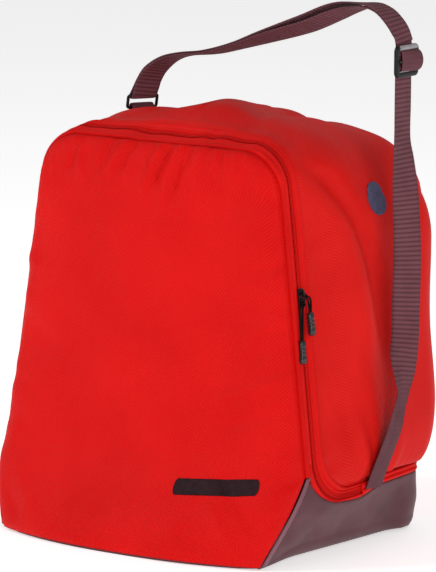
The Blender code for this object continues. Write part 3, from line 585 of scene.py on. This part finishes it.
def loft(name, rings, look, body, nodes, uv=None):
    """A closed solid through rings of points; uv holds one pair per ring point."""
    rings = np.asarray(rings, float)
    count, around = rings.shape[:2]
    mesh = bpy.data.meshes.new(name)
    index = np.arange(count * around).reshape(count, around)
    nxt = np.roll(index, -1, 1)
    quads = np.stack([index[:-1], nxt[:-1], nxt[1:], index[1:]], -1).reshape(-1, 4).tolist()
    faces = quads + [index[0][::-1].tolist(), index[-1].tolist()]
    mesh.from_pydata(rings.reshape(-1, 3).tolist(), [], faces)
    if uv is not None:
        lay_uv(mesh, uv)
    face_out(mesh)
    return finish_piece(link(name, mesh, look), body, nodes)


# ---------------------------------------------------------------- hood and back
def hood_low(y):
    centre, low = SEAM_Y + HOOD_W + HEM_TURN_R, HEM_LOW
    arc = low + HEM_TURN_R - np.sqrt(np.maximum(HEM_TURN_R**2 - (y - centre) ** 2, 0))
    return np.where(y < centre, arc, low + 0.0025 * smooth((y - ZIP_END_Y) / 0.06))


def shares(low, top=26, shoulder=26, side=70):
    """Values of s down one half, to each low."""
    flat = np.linspace(0, S_TOP, top)
    arc = np.linspace(S_TOP, S_SIDE, shoulder)[1:]
    t = np.linspace(1, 0, side)[1:] ** 1.4
    down = low[:, None] + (S_SIDE - low[:, None]) * t[None, :]
    head = np.concatenate([flat, arc])
    half = np.concatenate([np.broadcast_to(head, (len(low), len(head))), down], 1)
    return np.concatenate([-half[:, :0:-1], half], 1)


def front_wave(y, s, amp=0.0022):
    """The zip's slow waves along the top."""
    near = bell(y, SEAM_Y + 0.015, 0.012) * smooth((0.42 - np.abs(s)) / 0.08)
    return amp * near * (noise1(s * 14 + 4, 41) + 0.6 * noise1(s * 31, 43))


def hood():
    a = np.linspace(0, pi / 2, 14)
    front = SEAM_Y + HOOD_W + HEM_TURN_R * (1 - np.cos(a))
    middle = np.linspace(front[-1], BACK_Y - EDGE_R, 46)[1:]
    by, bi = corner(np.linspace(0, 90, 16)[1:])
    y = np.concatenate([front, middle, by])
    inset = np.concatenate([np.zeros(len(front) + len(middle)), bi])
    s = shares(s_at(y, hood_low(y)))
    p = skin(y[:, None], s, inset[:, None])
    w = y[:, None] - SEAM_Y
    above = p[..., 2] - hood_low(y)[:, None]
    edge = smooth((w - 0.031) / 0.006) * smooth(above / 0.006)
    edge = edge * smooth((EDGE_R * 0.98 - inset[:, None]) / 0.012)
    roll = -0.0018 * bell(w, 0.0325, 0.0022) - 0.0015 * bell(above, 0, 0.0025)
    d = hood_relief(p, w) * edge + roll + front_wave(y[:, None], s)
    made = sheet_mesh("hood", raised(p, d), HOOD, SHELL, "tub", "hood_shell", lining=LINING)


def back():
    y, inset = corner(90)
    inset += 0.0006
    low_s = s_at(y, base_top(y) + 0.0005)
    column = np.concatenate([[low_s], shares(np.array([s_at(y, hood_low(y))]), 2, 16, 34)[0][::-1]])
    crest = skin(y, S_TOP, inset)[2]
    keep = (column > S_TOP) & (skin(y, column, inset)[:, 2] < crest - 0.003)
    column = np.append(column[keep], S_TOP)
    crown = skin(y, np.linspace(-S_TOP, S_TOP, 49), inset)
    left, right = skin(y, -column, inset), skin(y, column, inset)
    u = np.linspace(0, 1, 49)[None, :]
    p = mix(left[:, None], right[:, None], u[..., None])
    low, high = left[0, 2], left[-1, 2]
    rise = ((left[:, 2] - low) / (high - low))[:, None]
    p[..., 2] += (crown[None, :, 2] - crown[0, 2]) * rise**4
    full = smooth((rise * (high - low)) / 0.06) * smooth((0.93 - rise) / 0.15)
    p[..., 1] += 0.011 * (1 - (2 * u - 1) ** 4) * full
    soft = smooth(rise / 0.05) * smooth((1 - rise) / 0.06) * smooth(u / 0.08) * smooth((1 - u) / 0.08)
    p[..., 1] += soft * (0.002 * noise2(u * 4 + 2, rise * 5) + 0.0008 * noise2(u * 11, rise * 12))
    made = sheet_mesh("back", p, HOOD, SHELL, "tub", "back_panel", n=np.array([0, 1.0, 0]), lining=LINING)


# ---------------------------------------------------------------- front
def front_cloth(a, z):
    """The front with its bend above the toe rounded off."""
    p = face(a, z, FRONT_IN)
    z = p[..., 2]
    soft = 0.026 * np.log1p(np.exp((WAIST_Z - z) / 0.026)) - np.maximum(WAIST_Z - z, 0)
    p[..., 1] -= 0.58 * soft * smooth(front_edge(p) / 0.025) * smooth(z / 0.03)
    return p


def front():
    """The whole front in one piece: it is the flap above the fold and the toe below it."""
    a = np.sin(np.linspace(-1, 1, 121) * pi / 2)
    shoulder = FRONT_TOP - SHOULDER_FRONT
    turn = np.linspace(0, pi / 2 - 0.04, 36)[1:]
    z = np.concatenate([np.linspace(0.0024, shoulder, 120),
                        shoulder + (SHOULDER_FRONT - FRONT_IN) * np.sin(turn)])
    p = front_cloth(a[None, :], z[:, None])
    d = front_relief(p) * smooth(front_edge(p) / 0.004) - FRONT_IN
    made = sheet_mesh("front", raised(p, d), FRONT, SHELL, None, "front_panel front_toe_panel", lining=LINING)
    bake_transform(made)


def marks():
    """Plain printed shapes where the bag has prints: a bar low on the front, a dot on the side."""
    u, v = np.meshgrid(np.linspace(-1, 1, 41), np.linspace(-1, 1, 13))
    x = 0.108 + 0.051 * u * (1 - 0.06 * np.abs(v) ** 3)
    z = 0.078 + 0.0085 * v + 0.004 * u
    p = front_cloth(x / front_half(z), z)
    p = raised(p, front_relief(p) - FRONT_IN + PRINT_UP)
    sheet_mesh("front_mark_print", p, PRINT, 0.0003, "tub", "front_mark", n=np.array([0, -1.0, 0]))
    r, t = np.meshgrid(np.linspace(-1, 1, 31), np.linspace(-0.99, 0.99, 25))
    y = 0.059 + 0.016 * r * np.sqrt(1 - t * t)
    z = 0.373 + 0.016 * t
    top, radius, _ = section(y)
    over = np.maximum(z - (top - radius + radius * sin(LEAN_A)), 0)
    on_arc = S_SIDE - over * (S_SIDE - S_TOP) / (radius * (pi / 2 - LEAN_A))
    p = skin(y, np.where(over > 0, on_arc, s_at(y, z)))
    p = raised(p, hood_relief(p, y - SEAM_Y) + PRINT_UP)
    sheet_mesh("side_mark_print", p, PRINT_SIDE, 0.0003, "tub", "side_mark", n=np.array([1.0, 0, 0]))


# ---------------------------------------------------------------- gusset
def run_line(w, low=None, turn_r=0.0, z_stop=None, count=70):
    """Half a line of (y, s) at offset w behind the front seam, from its low end to the top centre."""
    y0 = SEAM_Y + w
    ys, ss = [], []
    if z_stop is None:
        flat = np.linspace(ZIP_END_Y, y0 + turn_r, 16)[:-1]
        ys += list(flat)
        ss += list(s_at(flat, low))
        a = np.linspace(0, pi / 2, 22)
        yy = y0 + turn_r * (1 - np.sin(a))
        ys += list(yy)
        ss += list(s_at(yy, low + turn_r * (1 - np.cos(a))))
        z_stop = low + turn_r
    else:
        ys.append(y0)
        ss.append(s_at(y0, z_stop))
    up = np.concatenate([np.linspace(s_at(y0, z_stop), S_SIDE, count)[1:], np.linspace(S_SIDE, S_TOP, 24)[1:],
                         np.linspace(S_TOP, 0, 30)[1:]])
    ys += [y0] * len(up)
    ss += list(up)
    y, s = np.array(ys), np.array(ss)
    return np.concatenate([y, y[-2::-1]]), np.concatenate([s, -s[-2::-1]])


def across_lines(a, b, count):
    """Places and points of a strip between two lines, with each row's share of the way from a to b."""
    t = np.linspace(0, 1, count)[:, None]
    y, s = mix(a[0][None], b[0][None], t), mix(a[1][None], b[1][None], t)
    return t, y, s


def bend_at_fold(made):
    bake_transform(made)


def strip(name, a, b, look, body, node, thickness, out, profile=None, across=7, pinch=0.0, side=1):
    """A strip between two lines, standing proud by its profile."""
    t, y, s = across_lines(a, b, across)
    p = skin(y, side * s)
    n = outward(p)
    d = out + front_wave(y, s) + (profile(t) if profile else 0)
    d = d + pinch * noise1(lengths(p, 1) / 0.012, 51) * np.sin(t * pi)
    made = sheet_mesh(name, p + n * d[..., None], look, thickness, body, node, n)
    if body is None:
        bend_at_fold(made)


def crowned(rise):
    return lambda t: rise * np.sqrt(np.maximum(1 - (2 * t - 1) ** 2, 0))


def two_ribs(t):
    """A narrow rib beside the zip and a wider one beside the hood."""
    first = np.where(t < 0.36, np.sqrt(np.maximum(1 - ((t - 0.16) / 0.2) ** 2, 0)), 0)
    second = np.where(t > 0.4, np.sqrt(np.maximum(1 - ((t - 0.69) / 0.29) ** 2, 0)), 0)
    return 0.0018 * first + 0.0026 * second - 0.0012


def rear(w, low):
    """Line round the opening at offset w, with the turn between the zip's and the hem's."""
    return run_line(w, low, mix(ZIP_TURN_R, HEM_TURN_R, (w - 0.015) / (HOOD_W - 0.015)))


def gusset():
    def flap_line(w):
        return run_line(w, z_stop=FOLD_Z - 0.004)

    tooth = crowned(0.0008)
    for name, w0, w1, look, node, *shape in (
        ("front_strip_cloth", 0.004, 0.0102, TRIM, "front_strip", 0.002, 0, crowned(0.0014), 9, 0.0003),
        ("tape_front_cloth", 0.01, 0.0134, TAPE, "zip_tape_front", 0.0008, -0.0007),
        ("coil_front_teeth", 0.0131, 0.0149, COIL, "zip_coil_front", 0.001, -0.0005, tooth),
    ):
        strip(name, flap_line(w0), flap_line(w1), look, None, node, *shape)
    for name, (w0, low0), (w1, low1), look, node, *shape in (
        ("coil_rear_teeth", (0.0151, 0.0648), (0.017, 0.0664), COIL, "zip_coil_rear", 0.001, -0.0006, tooth),
        ("tape_rear_cloth", (0.0168, 0.0662), (0.0204, 0.069), TAPE, "zip_tape_rear", 0.0008, -0.0007),
        ("facing_cloth", (0.0199, 0.0687), (0.0322, HEM_LOW), TRIM, "zip_facing", 0.002, -0.0002, two_ribs,
         25, 0.0003),
    ):
        strip(name, rear(w0, low0), rear(w1, low1), look, "tub", node, *shape)
    y, s = run_line(0.0014, z_stop=0.095)
    line = skin(y, s)
    n = unit(line - np.array([0.0, SEAM_Y, 0.25]))
    line = line + n * (front_wave(y, s) - 0.0004)[:, None]
    bend_at_fold(tube("front_piping_cord", line, 0.0033, TRIM, None, "front_piping"))


def lower_line(w, low, turn_r):
    """Right half of the zip's curved lower run at offset w, from its end up to the fold."""
    y, s = run_line(w, low, turn_r)
    y0 = SEAM_Y + w
    return np.append(y[:37], y0), np.append(s[:37], s_at(y0, FOLD_Z - 0.0003))


def lower_trim():
    """Bands between the zip's lower runs and the base, and from there to the back."""
    t = np.linspace(0, 1, 38)
    edge_y = mix(ZIP_END_Y, SEAM_Y + 0.0052, t**0.75)
    edge = (edge_y, s_at(edge_y, base_top(edge_y)))
    edge[0][-1], edge[1][-1] = SEAM_Y + 0.0038, s_at(SEAM_Y + 0.0038, FOLD_Z - 0.0003)
    by, bi = corner(np.linspace(0, 90, 14)[1:])
    y = np.concatenate([np.linspace(ZIP_END_Y + 0.0004, BACK_Y - EDGE_R, 40), by])
    inset = np.concatenate([np.zeros(40), bi])
    z = mix(base_top(y)[None], hood_low(y)[None] - 0.0002, np.linspace(0, 1, 21)[:, None])
    bulge = np.abs(np.sin(np.linspace(0, 2 * pi, 21)))[:, None] ** 0.6
    for side, tag in ((1, "right"), (-1, "left")):
        for name, a, b, look, node, *shape in (
            (f"lower_band_{tag}_cloth", lower_line(0.0104, 0.0622, 0.047), edge, TRIM, f"lower_band_{tag}",
             0.002, -0.0003, crowned(0.0013), 11, 0.0003),
            (f"tape_low_{tag}", lower_line(0.0102, 0.0621, 0.047), lower_line(0.0134, 0.064, 0.0456),
             TAPE, "", 0.0008, -0.001, None, 5, 0),
            (f"coil_low_{tag}", lower_line(0.0131, 0.0638, 0.0457), lower_line(0.0149, 0.0647, 0.045),
             COIL, "", 0.001, -0.0006, crowned(0.0008), 7, 0),
        ):
            strip(name, a, b, look, "tub", node, *shape, side)
        p = skin(y[None], side * s_at(y[None], z), inset[None])
        n = outward(p)
        p = p + n * (0.0024 * bulge - 0.0006)[..., None]
        sheet_mesh(f"hem_band_{tag}_cloth", p, TRIM, 0.002, "tub", f"hem_band_{tag}", n=n)


def inner_tapes():
    """Dark tape over the seams on the inside."""
    t, y, s = across_lines(rear(0.0158, 0.0653), rear(0.038, 0.078), 7)
    p = skin(y, s)
    n = outward(p)
    d = front_wave(y, s) - mix(0.0028, 0.0066, t)
    sheet_mesh("inner_tape_front", p + n * d[..., None], LINING, 0.0008, "tub", "", n)
    by, bi = corner(np.linspace(0, 90, 12)[1:])
    y = np.concatenate([np.linspace(ZIP_END_Y - 0.03, BACK_Y - EDGE_R, 34), by])
    inset = np.concatenate([np.zeros(34), bi])
    z = mix(base_top(y)[None] - 0.008, hood_low(y)[None] + 0.012, np.linspace(0, 1, 11)[:, None])
    right, left = (skin(y[None], side * s_at(y[None], z), inset[None]) for side in (1, -1))
    across = np.linspace(0, 1, 24)[1:-1][None, :, None]
    p = np.concatenate([right, mix(right[:, -1:], left[:, -1:], across), left[:, ::-1]], 1)
    n = outward(p, (0, 0.03, 0.07))
    sheet_mesh("inner_tape_hem", p - n * 0.0062, LINING, 0.0008, "tub", "", n)


# ---------------------------------------------------------------- base
def tub_columns():
    """Right half of the base's wall, as points from its upper edge to the floor."""
    start = SEAM_Y + 0.003
    y = np.concatenate([mix(start, ZIP_END_Y, np.linspace(0, 1, 34) ** 1.33),
                        np.linspace(ZIP_END_Y, BACK_Y - EDGE_R, 36)[1:]])
    turns = np.linspace(0, 90, 20)[1:]
    by, bi = corner(turns)
    t = (y - start) / (BACK_Y - EDGE_R - start)
    top = np.concatenate([skin(y, s_at(y, base_top(y) - 0.0004)),
                          skin(by, s_at(by, base_top(by) - 0.0004), bi)])
    c, s = np.cos(np.radians(turns)), np.sin(np.radians(turns))
    foot_x = np.concatenate([mix(TOE_HALF, FOOT_HALF, smooth(t)), FOOT_HALF - EDGE_R + EDGE_R * c])
    foot_y = np.concatenate([mix(TOE_Y + 0.003, FOOT_BACK_Y - EDGE_R, t), FOOT_BACK_Y - EDGE_R + EDGE_R * s])
    foot = np.stack([foot_x, foot_y, 0 * foot_x], -1)
    radius = np.concatenate([mix(FOOT_R_FRONT, FOOT_R, smooth(t / 0.3)), FOOT_R + 0 * c])
    out = np.concatenate([np.stack([1 + 0 * t, 0 * t, 0 * t], -1), np.stack([c, s, 0 * c], -1)])
    across = np.linspace(0, 1, 20)[1:]
    flat = lambda v: np.stack([v[-1, 0] * (1 - across), v[-1, 1] + 0 * across, v[-1, 2] + 0 * across], -1)
    top, foot = np.concatenate([top, flat(top)]), np.concatenate([foot, flat(foot)])
    radius = np.concatenate([radius, FOOT_R + 0 * across])
    out = np.concatenate([out, np.broadcast_to(out[-1], (len(across), 3))])
    return top, foot, radius, out


def base():
    top, foot, radius, out = tub_columns()
    up = np.array([0, 0, 1.0])
    knee = foot + radius[:, None] * up
    centre = knee - out * radius[:, None]
    rows = [top, top - 0.002 * up, *(mix(top - 0.003 * up, knee, t) for t in np.linspace(0, 1, 18))]
    for a in np.radians(np.linspace(0, 90, 9)[1:]):
        rows.append(centre + out * (radius * cos(a))[:, None] - up * (radius * sin(a))[:, None] + 0.0002 * up)
    p = np.stack(rows, 0)
    mirror = p[:, -2::-1].copy()
    mirror[..., 0] *= -1
    p = np.concatenate([p, mirror], 1)
    n = outward(p, (0, 0.02, 0.05))
    x, y, z = p[..., 0], p[..., 1], p[..., 2]
    mid = smooth((z - 0.004) / 0.02) * smooth((base_top(y) - z) / 0.012)
    side = np.sign(x)
    d = 0.0014 * noise2(y / 0.05 + 9 * side, z / 0.035 + 3) * mid
    d += strokes(y, z, BASE_FOLDS) * mid
    low = smooth(z / 0.008) * smooth((0.066 - z) / 0.035)
    d += 0.0075 * low * smooth((y - 0.085) / 0.05) * smooth((x - 0.1) / 0.05)
    sheet_mesh("base_tub", p + n * d[..., None], PLUM, 0.0026, "tub", "base_wall", n=n, lining=LINING)
    # a raised strip along the front seam of the base, in a lighter plum: its rise rounds the corner, and its
    # lighter colour is painted highlight where the base turns towards the light
    z = np.linspace(0.004, 0.0945, 40)
    for side, tag in ((1, "right"), (-1, "left")):
        seam = face(side * 1.0, z)
        t = np.linspace(0, 1, 7)[:, None]
        proud = 0.0014 - 0.001 * side + 0.0012 * np.sin(t * pi)
        x, y = seam[None, :, 0] + side * proud, seam[None, :, 1] + 0.0012 + 0.0085 * t
        lay = np.stack([x, y, np.broadcast_to(z, (7, 40))], -1)
        sheet_mesh(f"base_seam_highlight_{tag}", lay, PLUM_PAINTED_HIGHLIGHT, 0.0012, "tub", "",
                   np.array([float(side), 0, 0]))
    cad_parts["base_floor"].material_slots[0].material = PLUM
    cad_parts["base_board"].material_slots[0].material = BOARD


# ---------------------------------------------------------------- strap
def bearing(degrees):
    """A level direction."""
    return np.array([cos(radians(degrees)), sin(radians(degrees)), 0.0])


SLIDE_X, SLIDE_Y, ADJUSTER_Z = 0.229, 0.0365, 0.529  # the strap's upright stretch and the adjuster on it
RING_LOW = np.array([-0.136, 0.064, 0.447])
RING_WIDE = np.array([0.47, 0.88, 0.0]) / np.hypot(0.47, 0.88)
RING_UP = np.array([0.22, -0.1175, 1.0]) / np.linalg.norm([0.22, -0.1175, 1.0])
RING_H, RING_HALF, RING_ROD = 0.014, 0.0176, 0.00175
# x, y, z in mm, then the bearings of the left and the right half's width in degrees
STRAP_ROUTE = ((201.8, 31, 65.5, 90, 90), (208.4, 32, 84.5, 90, 90), (217.5, 32.5, 109, 94, 88),
               (223, 35.5, 132, 102, 84), (224.2, 39, 155.5, 116, 80), (225.6, 41.5, 173, 120, 72),
               (227.5, 42.5, 190, 96, 52), (228.7, 44, 207, 62, 36), (229.7, 45.7, 227.2, 34, 26),
               (231.7, 44, 271.4, 36, 36), (233.2, 42.7, 325.1, 46, 46), (232.2, 40, 379.6, 56, 56),
               (230.5, 37.5, 420, 76, 76), (229, 36.5, 445, 90, 90), (229, 36.5, 480, 90, 90),
               (229, 36.5, 515, 90, 90), (229, 36.5, 548, 90, 90))
# x, y, z in mm, then the width's x and z for a y of 1
OVER = ((224.5, 35, 560, 0.05, 0), (216, 34, 571, 0.08, 0), (204, 34, 580, 0.06, 0),
        (186.4, 35, 583.5, 0.02, -0.02), (162.6, 36, 578.5, 0.05, -0.24), (139.7, 37, 570.2, 0.1, -0.38),
        (107, 39, 556.9, 0.12, -0.42), (78.9, 41, 548.2, 0.12, -0.42), (45.7, 44, 538.6, 0.12, -0.36),
        (9.3, 47, 527.1, 0.1, -0.2), (-30.5, 50, 516.5, 0.1, -0.14), (-69.7, 54, 510.8, 0.14, -0.1),
        (-93, 56, 503.6, 0.24, -0.1), (-112.2, 58, 490.7, 0.42, -0.1), (-122.4, 60, 478.4, 0.5, -0.06))


def curve_through(points, per_step):
    """Catmull-Rom line through points."""
    q = np.asarray(points, float)
    q = np.concatenate([[2 * q[0] - q[1]], q, [2 * q[-1] - q[-2]]])
    t = np.linspace(0, 1, per_step, endpoint=False)[:, None]
    out = []
    for k in range(1, len(q) - 2):
        a, b, c, d = q[k - 1:k + 3]
        square, cube = 2 * a - 5 * b + 4 * c - d, 3 * b - a - 3 * c + d
        out.append(0.5 * (2 * b + (c - a) * t + square * t**2 + cube * t**3))
    return np.concatenate([*out, q[-2][None]])


def ribbon(name, line, left, right, body, nodes, width=0.03, thickness=0.0018):
    """Webbing along a line; its left and right halves may face different ways, as in a fold."""
    ahead = unit(np.gradient(line, axis=0))
    left = unit(left - ahead * (left * ahead).sum(-1, keepdims=True))
    right = unit(right - ahead * (right * ahead).sum(-1, keepdims=True))
    q = np.linspace(-1, 1, 9)
    along = lengths(line, 0)
    rings, uv = [], []
    for k in range(len(line)):
        top, low = [], []
        for v in q:
            share = smooth(v + 0.5)
            wide = unit(mix(left[k], right[k], share))
            thick = unit(np.cross(ahead[k], wide)) * thickness / 2 * (1 - 0.55 * abs(v) ** 8)
            arm = line[k] + (left[k] if v < 0 else right[k]) * v * width / 2
            top.append(arm + thick)
            low.append(arm - thick)
        rings.append(top + low[::-1])
        side = [[along[k], v * width / 2] for v in q]
        uv.append(side + side[::-1])
    loft(name, rings, WEB, body, nodes, uv)


def strap():
    across = unit(np.cross(RING_WIDE, RING_UP))
    inner = across if across[0] > 0 else -across
    bar = RING_LOW + RING_UP * RING_H
    loop_r = RING_ROD + 0.0014
    points = [np.array(r[:3]) / 1000 for r in STRAP_ROUTE + OVER]
    level = [unit(np.array([r[3], 1, r[4]])) for r in OVER]
    left, right = ([bearing(r[k]) for r in STRAP_ROUTE] + level for k in (3, 4))
    turn = [bar + (inner * cos(a) - RING_UP * sin(a)) * loop_r for a in np.linspace(0, pi, 9)]
    first = len(STRAP_ROUTE)
    outer, outer_wide = [], []  # the layer that comes back from the ring
    for k in range(first - 1, len(points)):
        ahead = unit(points[min(k + 1, len(points) - 1)] - points[k - 1])
        wide = unit(left[k] - ahead * (left[k] @ ahead))
        up = np.cross(ahead, wide)
        up = up if up @ (points[k] - np.array([0.02, 0.04, 0.4])) > 0 else -up
        share = (k - first + 1) / (len(points) - first)
        lift = smooth((share - 0.22) / 0.18) * smooth((0.66 - share) / 0.22)
        outer.append(points[k] + up * (0.0019 + 0.0062 * lift))
        outer_wide.append(wide if wide[1] > 0 else -wide)
    outer, outer_wide = outer[::-1], outer_wide[::-1]
    go = [mix(points[-1], turn[0], t) for t in (0.45, 0.75, 0.92)]
    come = [mix(turn[-1], outer[0], t) for t in (0.08, 0.25, 0.55)]
    whole = points + go + turn + come + outer
    wl = left + [RING_WIDE] * (len(turn) + 6) + outer_wide
    wr = right + [RING_WIDE] * (len(turn) + 6) + outer_wide
    ribbon("strap_webbing_cloth", *(curve_through(v, 7) for v in (whole, wl, wr)), "strap",
           "strap_webbing strap_return")
    ring = rounded(RING_LOW + RING_UP * RING_H / 2, RING_WIDE, RING_UP, RING_HALF, RING_H, 0.0024)
    tube("ring", ring, RING_ROD, BLACK, "strap", "strap_ring", cyclic=True, sides=5)
    s = np.linspace(0.2, 0.7, 401)
    on_hood = skin(RING_LOW[1], -s)
    foot = on_hood[np.argmin(np.abs(on_hood[:, 0] - RING_LOW[0] + 0.001))]
    reach, low, high = 0.0046, np.array([0, 0, 0.004]), np.array([0, 0, 0.0075])
    path = [foot - across * 0.014 + low, foot - across * reach + high]
    path += [RING_LOW - across * reach * cos(a) + RING_UP * reach * sin(a)
             for a in np.linspace(-0.1, pi + 0.1, 9)]
    path += [foot + across * reach + high, foot + across * 0.014 + low]
    wide = curve_through(np.array([RING_WIDE] * len(path)), 5)
    ribbon("ring_tab", curve_through(path, 5), wide, wide, "tub", "strap_tab", 0.026, 0.0014)


def rounded(middle, wide, up, half, height, radius, steps=7):
    """Points round an oblong with round corners."""
    points = []
    for sx, sz, start in ((1, 1, 0), (-1, 1, 90), (-1, -1, 180), (1, -1, 270)):
        for k in range(steps):
            a = radians(start + 90 * k / (steps - 1))
            points.append(middle + wide * (sx * (half - radius) + radius * cos(a))
                          + up * (sz * (height / 2 - radius) + radius * sin(a)))
    return np.array(points)


# ---------------------------------------------------------------- fittings
def adjuster():
    half, height = 0.019, 0.034
    middle = np.array([SLIDE_X + 0.0038, SLIDE_Y, ADJUSTER_Z])
    wide, up, out = np.array([0, 1.0, 0]), np.array([0, 0, 1.0]), np.array([1.0, 0, 0])
    outer, inner = (half + 0.0022, height + 0.0006, 0.006), (half - 0.003, height - 0.012, 0.0022)
    rings = []
    for t in np.linspace(0, 2 * pi, 17)[:-1]:
        share = 0.5 + 0.5 * power(cos(t), 0.5)
        shape = [mix(a, b, share) for a, b in zip(outer, inner)]
        bow = out * (0.0021 * power(sin(t), 0.5))
        rings.append(rounded(middle + bow, wide, up, *shape))
    plate(rings)
    span = [middle + wide * y + out * 0.001 for y in (-half + 0.002, half - 0.002)]
    tube("adjuster_bar_moulding", span, 0.0019, BLACK, "adjuster", "adjuster_bar")
    turn = np.radians(np.linspace(-152, 152, 25))
    path = [middle + np.array([max(0.0062 * cos(a), -0.0016), 0.003, 0.0112 * sin(a)]) for a in turn]
    w = unit(np.array([[max(0.28 * cos(a), 0), 1, 0] for a in turn]))
    ribbon("adjuster_loop_cloth", np.array(path), w, w, "adjuster", "adjuster_loop", 0.029, 0.0016)
    # light grey bars over the black frame are painted highlights: a wide one along the frame's top bar and a
    # thin line over its bottom bar
    for name, z, x, radius in (("top_bar_highlight", height / 2 - 0.0026, 0.0014, 0.0028),
                               ("low_edge", 0.0062 - height / 2, 0.0022, 0.0005)):
        span = [middle + wide * y + up * z + out * x for y in (-half + 0.0035, half - 0.0035)]
        tube("adjuster_" + name, span, radius, GREY_PAINTED_HIGHLIGHT, "adjuster", "")


def plate(rings):
    """The adjuster's frame: its section goes round through the rings and closes on itself."""
    rings = np.asarray(rings)
    count, around = rings.shape[:2]
    index = np.arange(count * around).reshape(count, around)
    up_one, on_one = np.roll(index, -1, 0), np.roll(index, -1, 1)
    quads = np.stack([index, on_one, np.roll(up_one, -1, 1), up_one], -1).reshape(-1, 4)
    mesh = bpy.data.meshes.new("adjuster_frame_moulding")
    mesh.from_pydata(rings.reshape(-1, 3).tolist(), [], quads.tolist())
    face_out(mesh)
    finish_piece(link("adjuster_frame_moulding", mesh, BLACK), "adjuster", "adjuster_frame")


def zip_frame(z, out):
    """A point over the zip at height z, with the directions out, back and up there."""
    y = SEAM_Y + 0.015
    p, q = skin(y, s_at(y, 0.3)), skin(y, s_at(y, 0.25))
    up, back = unit(p - q), np.array([0, 1.0, 0])
    n = np.cross(back, up)
    return skin(y, s_at(y, z)) + n * out, n, back, up


def power(value, exponent):
    return np.sign(value) * abs(value) ** exponent


def grip(name, middle, axes, body, nodes):
    """A rounded bar along the third axis, narrowed at its waist and a little towards its end."""
    thick, wide, long = 0.0028, 0.0052, 0.0132
    rings = []
    for t in np.linspace(-1, 1, 19):
        cap = max(1 - abs(t) ** 7, 0.0) ** 0.5 * 0.97 + 0.03
        waist = 0.3 * (1 - (t * 1.3) ** 2) if abs(t) < 0.77 else 0
        w = wide * cap * (1 - waist) * (1 + 0.08 * t)
        h = thick * cap * (1 - 0.12 * cos(6 * pi * t) * (abs(t) < 0.6))
        centre = middle + axes[2] * t * long
        rings.append([centre + axes[0] * h * power(cos(a), 0.6) + axes[1] * w * power(sin(a), 0.6)
                      for a in np.linspace(0, 2 * pi, 20, endpoint=False)])
    loft(name, rings, GRIP, body, nodes)


def pulls():
    # per pull: height, then places as out, up and back from its hole, in mm
    for tag, z, bend, knee, top, end in (
        ("upper", 0.289, (3, -3.4), (5.2, -8, 4.2), (5.8, -20.5, 3.6), (6, -45.5, 4)),
        ("lower", 0.2796, (0, -4.2), (0.4, -8.5, -4.5), (0.6, -39.5, -8), (1, -64.5, -10)),
    ):
        hole, out, back, up = zip_frame(z, 0.0038)

        def place(out_mm, up_mm, back_mm):
            return hole + (out * out_mm + up * up_mm + back * back_mm) / 1000

        grip_top, grip_end = place(*top), place(*end)
        down = unit(grip_end - grip_top)
        sides = [curve_through([place(0, 0, k * 2.4), place(*bend, k * 2.7), place(*knee) + back * k * 0.0024,
                                grip_top + back * k * 0.0012 + down * 0.001], 8) for k in (-1, 1)]
        tube(f"pull_{tag}_cord_loop", np.concatenate([sides[0][::-1], sides[1]]), 0.0011, CORD, f"pull_{tag}",
             f"pull_{tag}_cord")
        side = unit(np.cross(down, out))
        axes = (np.cross(side, down), side, down)
        middle = (grip_top + grip_end) / 2 + down * 0.0006
        grip(f"pull_{tag}_grip_moulding", middle, axes, f"pull_{tag}", f"pull_{tag}_grip")
        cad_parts[f"zip_slider_{tag}"].material_slots[0].material = METAL


# ---------------------------------------------------------------- camera, floor and light
def studio():
    # the camera's bearing round the bag and its height above level in degrees, and its roll in radians
    az, el, roll = radians(35.76), radians(9.44), 0.0077
    back = Vector((sin(az) * cos(el), -cos(az) * cos(el), sin(el)))
    right = Vector((cos(az), sin(az), 0))
    up = Vector((-sin(az) * sin(el), cos(az) * sin(el), cos(el)))
    right, up = right * cos(roll) + up * sin(roll), up * cos(roll) - right * sin(roll)
    aim = Vector((0, 0, 0.25)) + right * 0.01326 + up * 0.01804
    data = bpy.data.cameras.new("camera")
    data.lens, data.sensor_width, data.sensor_fit = 308.0, 36.0, "AUTO"
    data.clip_start, data.clip_end = 0.1, 50
    camera = put("camera", data)
    turn = Matrix((right, up, back)).transposed().to_4x4()
    camera.matrix_world = Matrix.Translation(aim + back * 5.32) @ turn
    bpy.context.scene.camera = camera

    mesh = bpy.data.meshes.new("floor")
    mesh.from_pydata([(x, y, 0) for x, y in ((-12, -12), (12, -12), (12, 12), (-12, 12))], [], [(0, 1, 2, 3)])
    ground, _, shader = nodes_of("floor")
    settings(shader, Base_Color=(0.88, 0.88, 0.88, 1), Roughness=0.9, Emission_Color=(1, 1, 1, 1),
             Emission_Strength=0.5)
    floor = link("floor", mesh, ground)
    floor.location = (0, 0, -0.0005)

    world = bpy.data.worlds.new("studio")
    world.use_nodes = True
    settings(world.node_tree.nodes["Background"], Color=(1, 1, 1, 1), Strength=0.36)
    bpy.context.scene.world = world
    for name, where, size, watts in (("key", (-2.6, -2.6, 2.4), 1.1, 67), ("fill", (3.2, -2.2, 1.2), 1.6, 67),
                                     ("top", (0.4, 1.6, 3.2), 2.0, 14)):
        lamp = bpy.data.lights.new(name, "AREA")
        lamp.size, lamp.energy = size, watts
        made = put(name, lamp)
        made.location = where
        made.rotation_mode = "QUATERNION"
        made.rotation_quaternion = (Vector((0, 0, 0.25)) - Vector(where)).to_track_quat("-Z", "Y")
    bpy.context.scene.view_settings.view_transform = "Standard"
    bpy.context.scene.view_settings.look = "None"


def plain_nodes():
    """CAD nodes that stay as they are, in the scene's materials."""
    for name in ("zip_end_right", "zip_end_left"):
        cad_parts[name].material_slots[0].material = TAPE


studio()
hood()
back()
front()
marks()
gusset()
lower_trim()
inner_tapes()
base()
strap()
adjuster()
pulls()
plain_nodes()
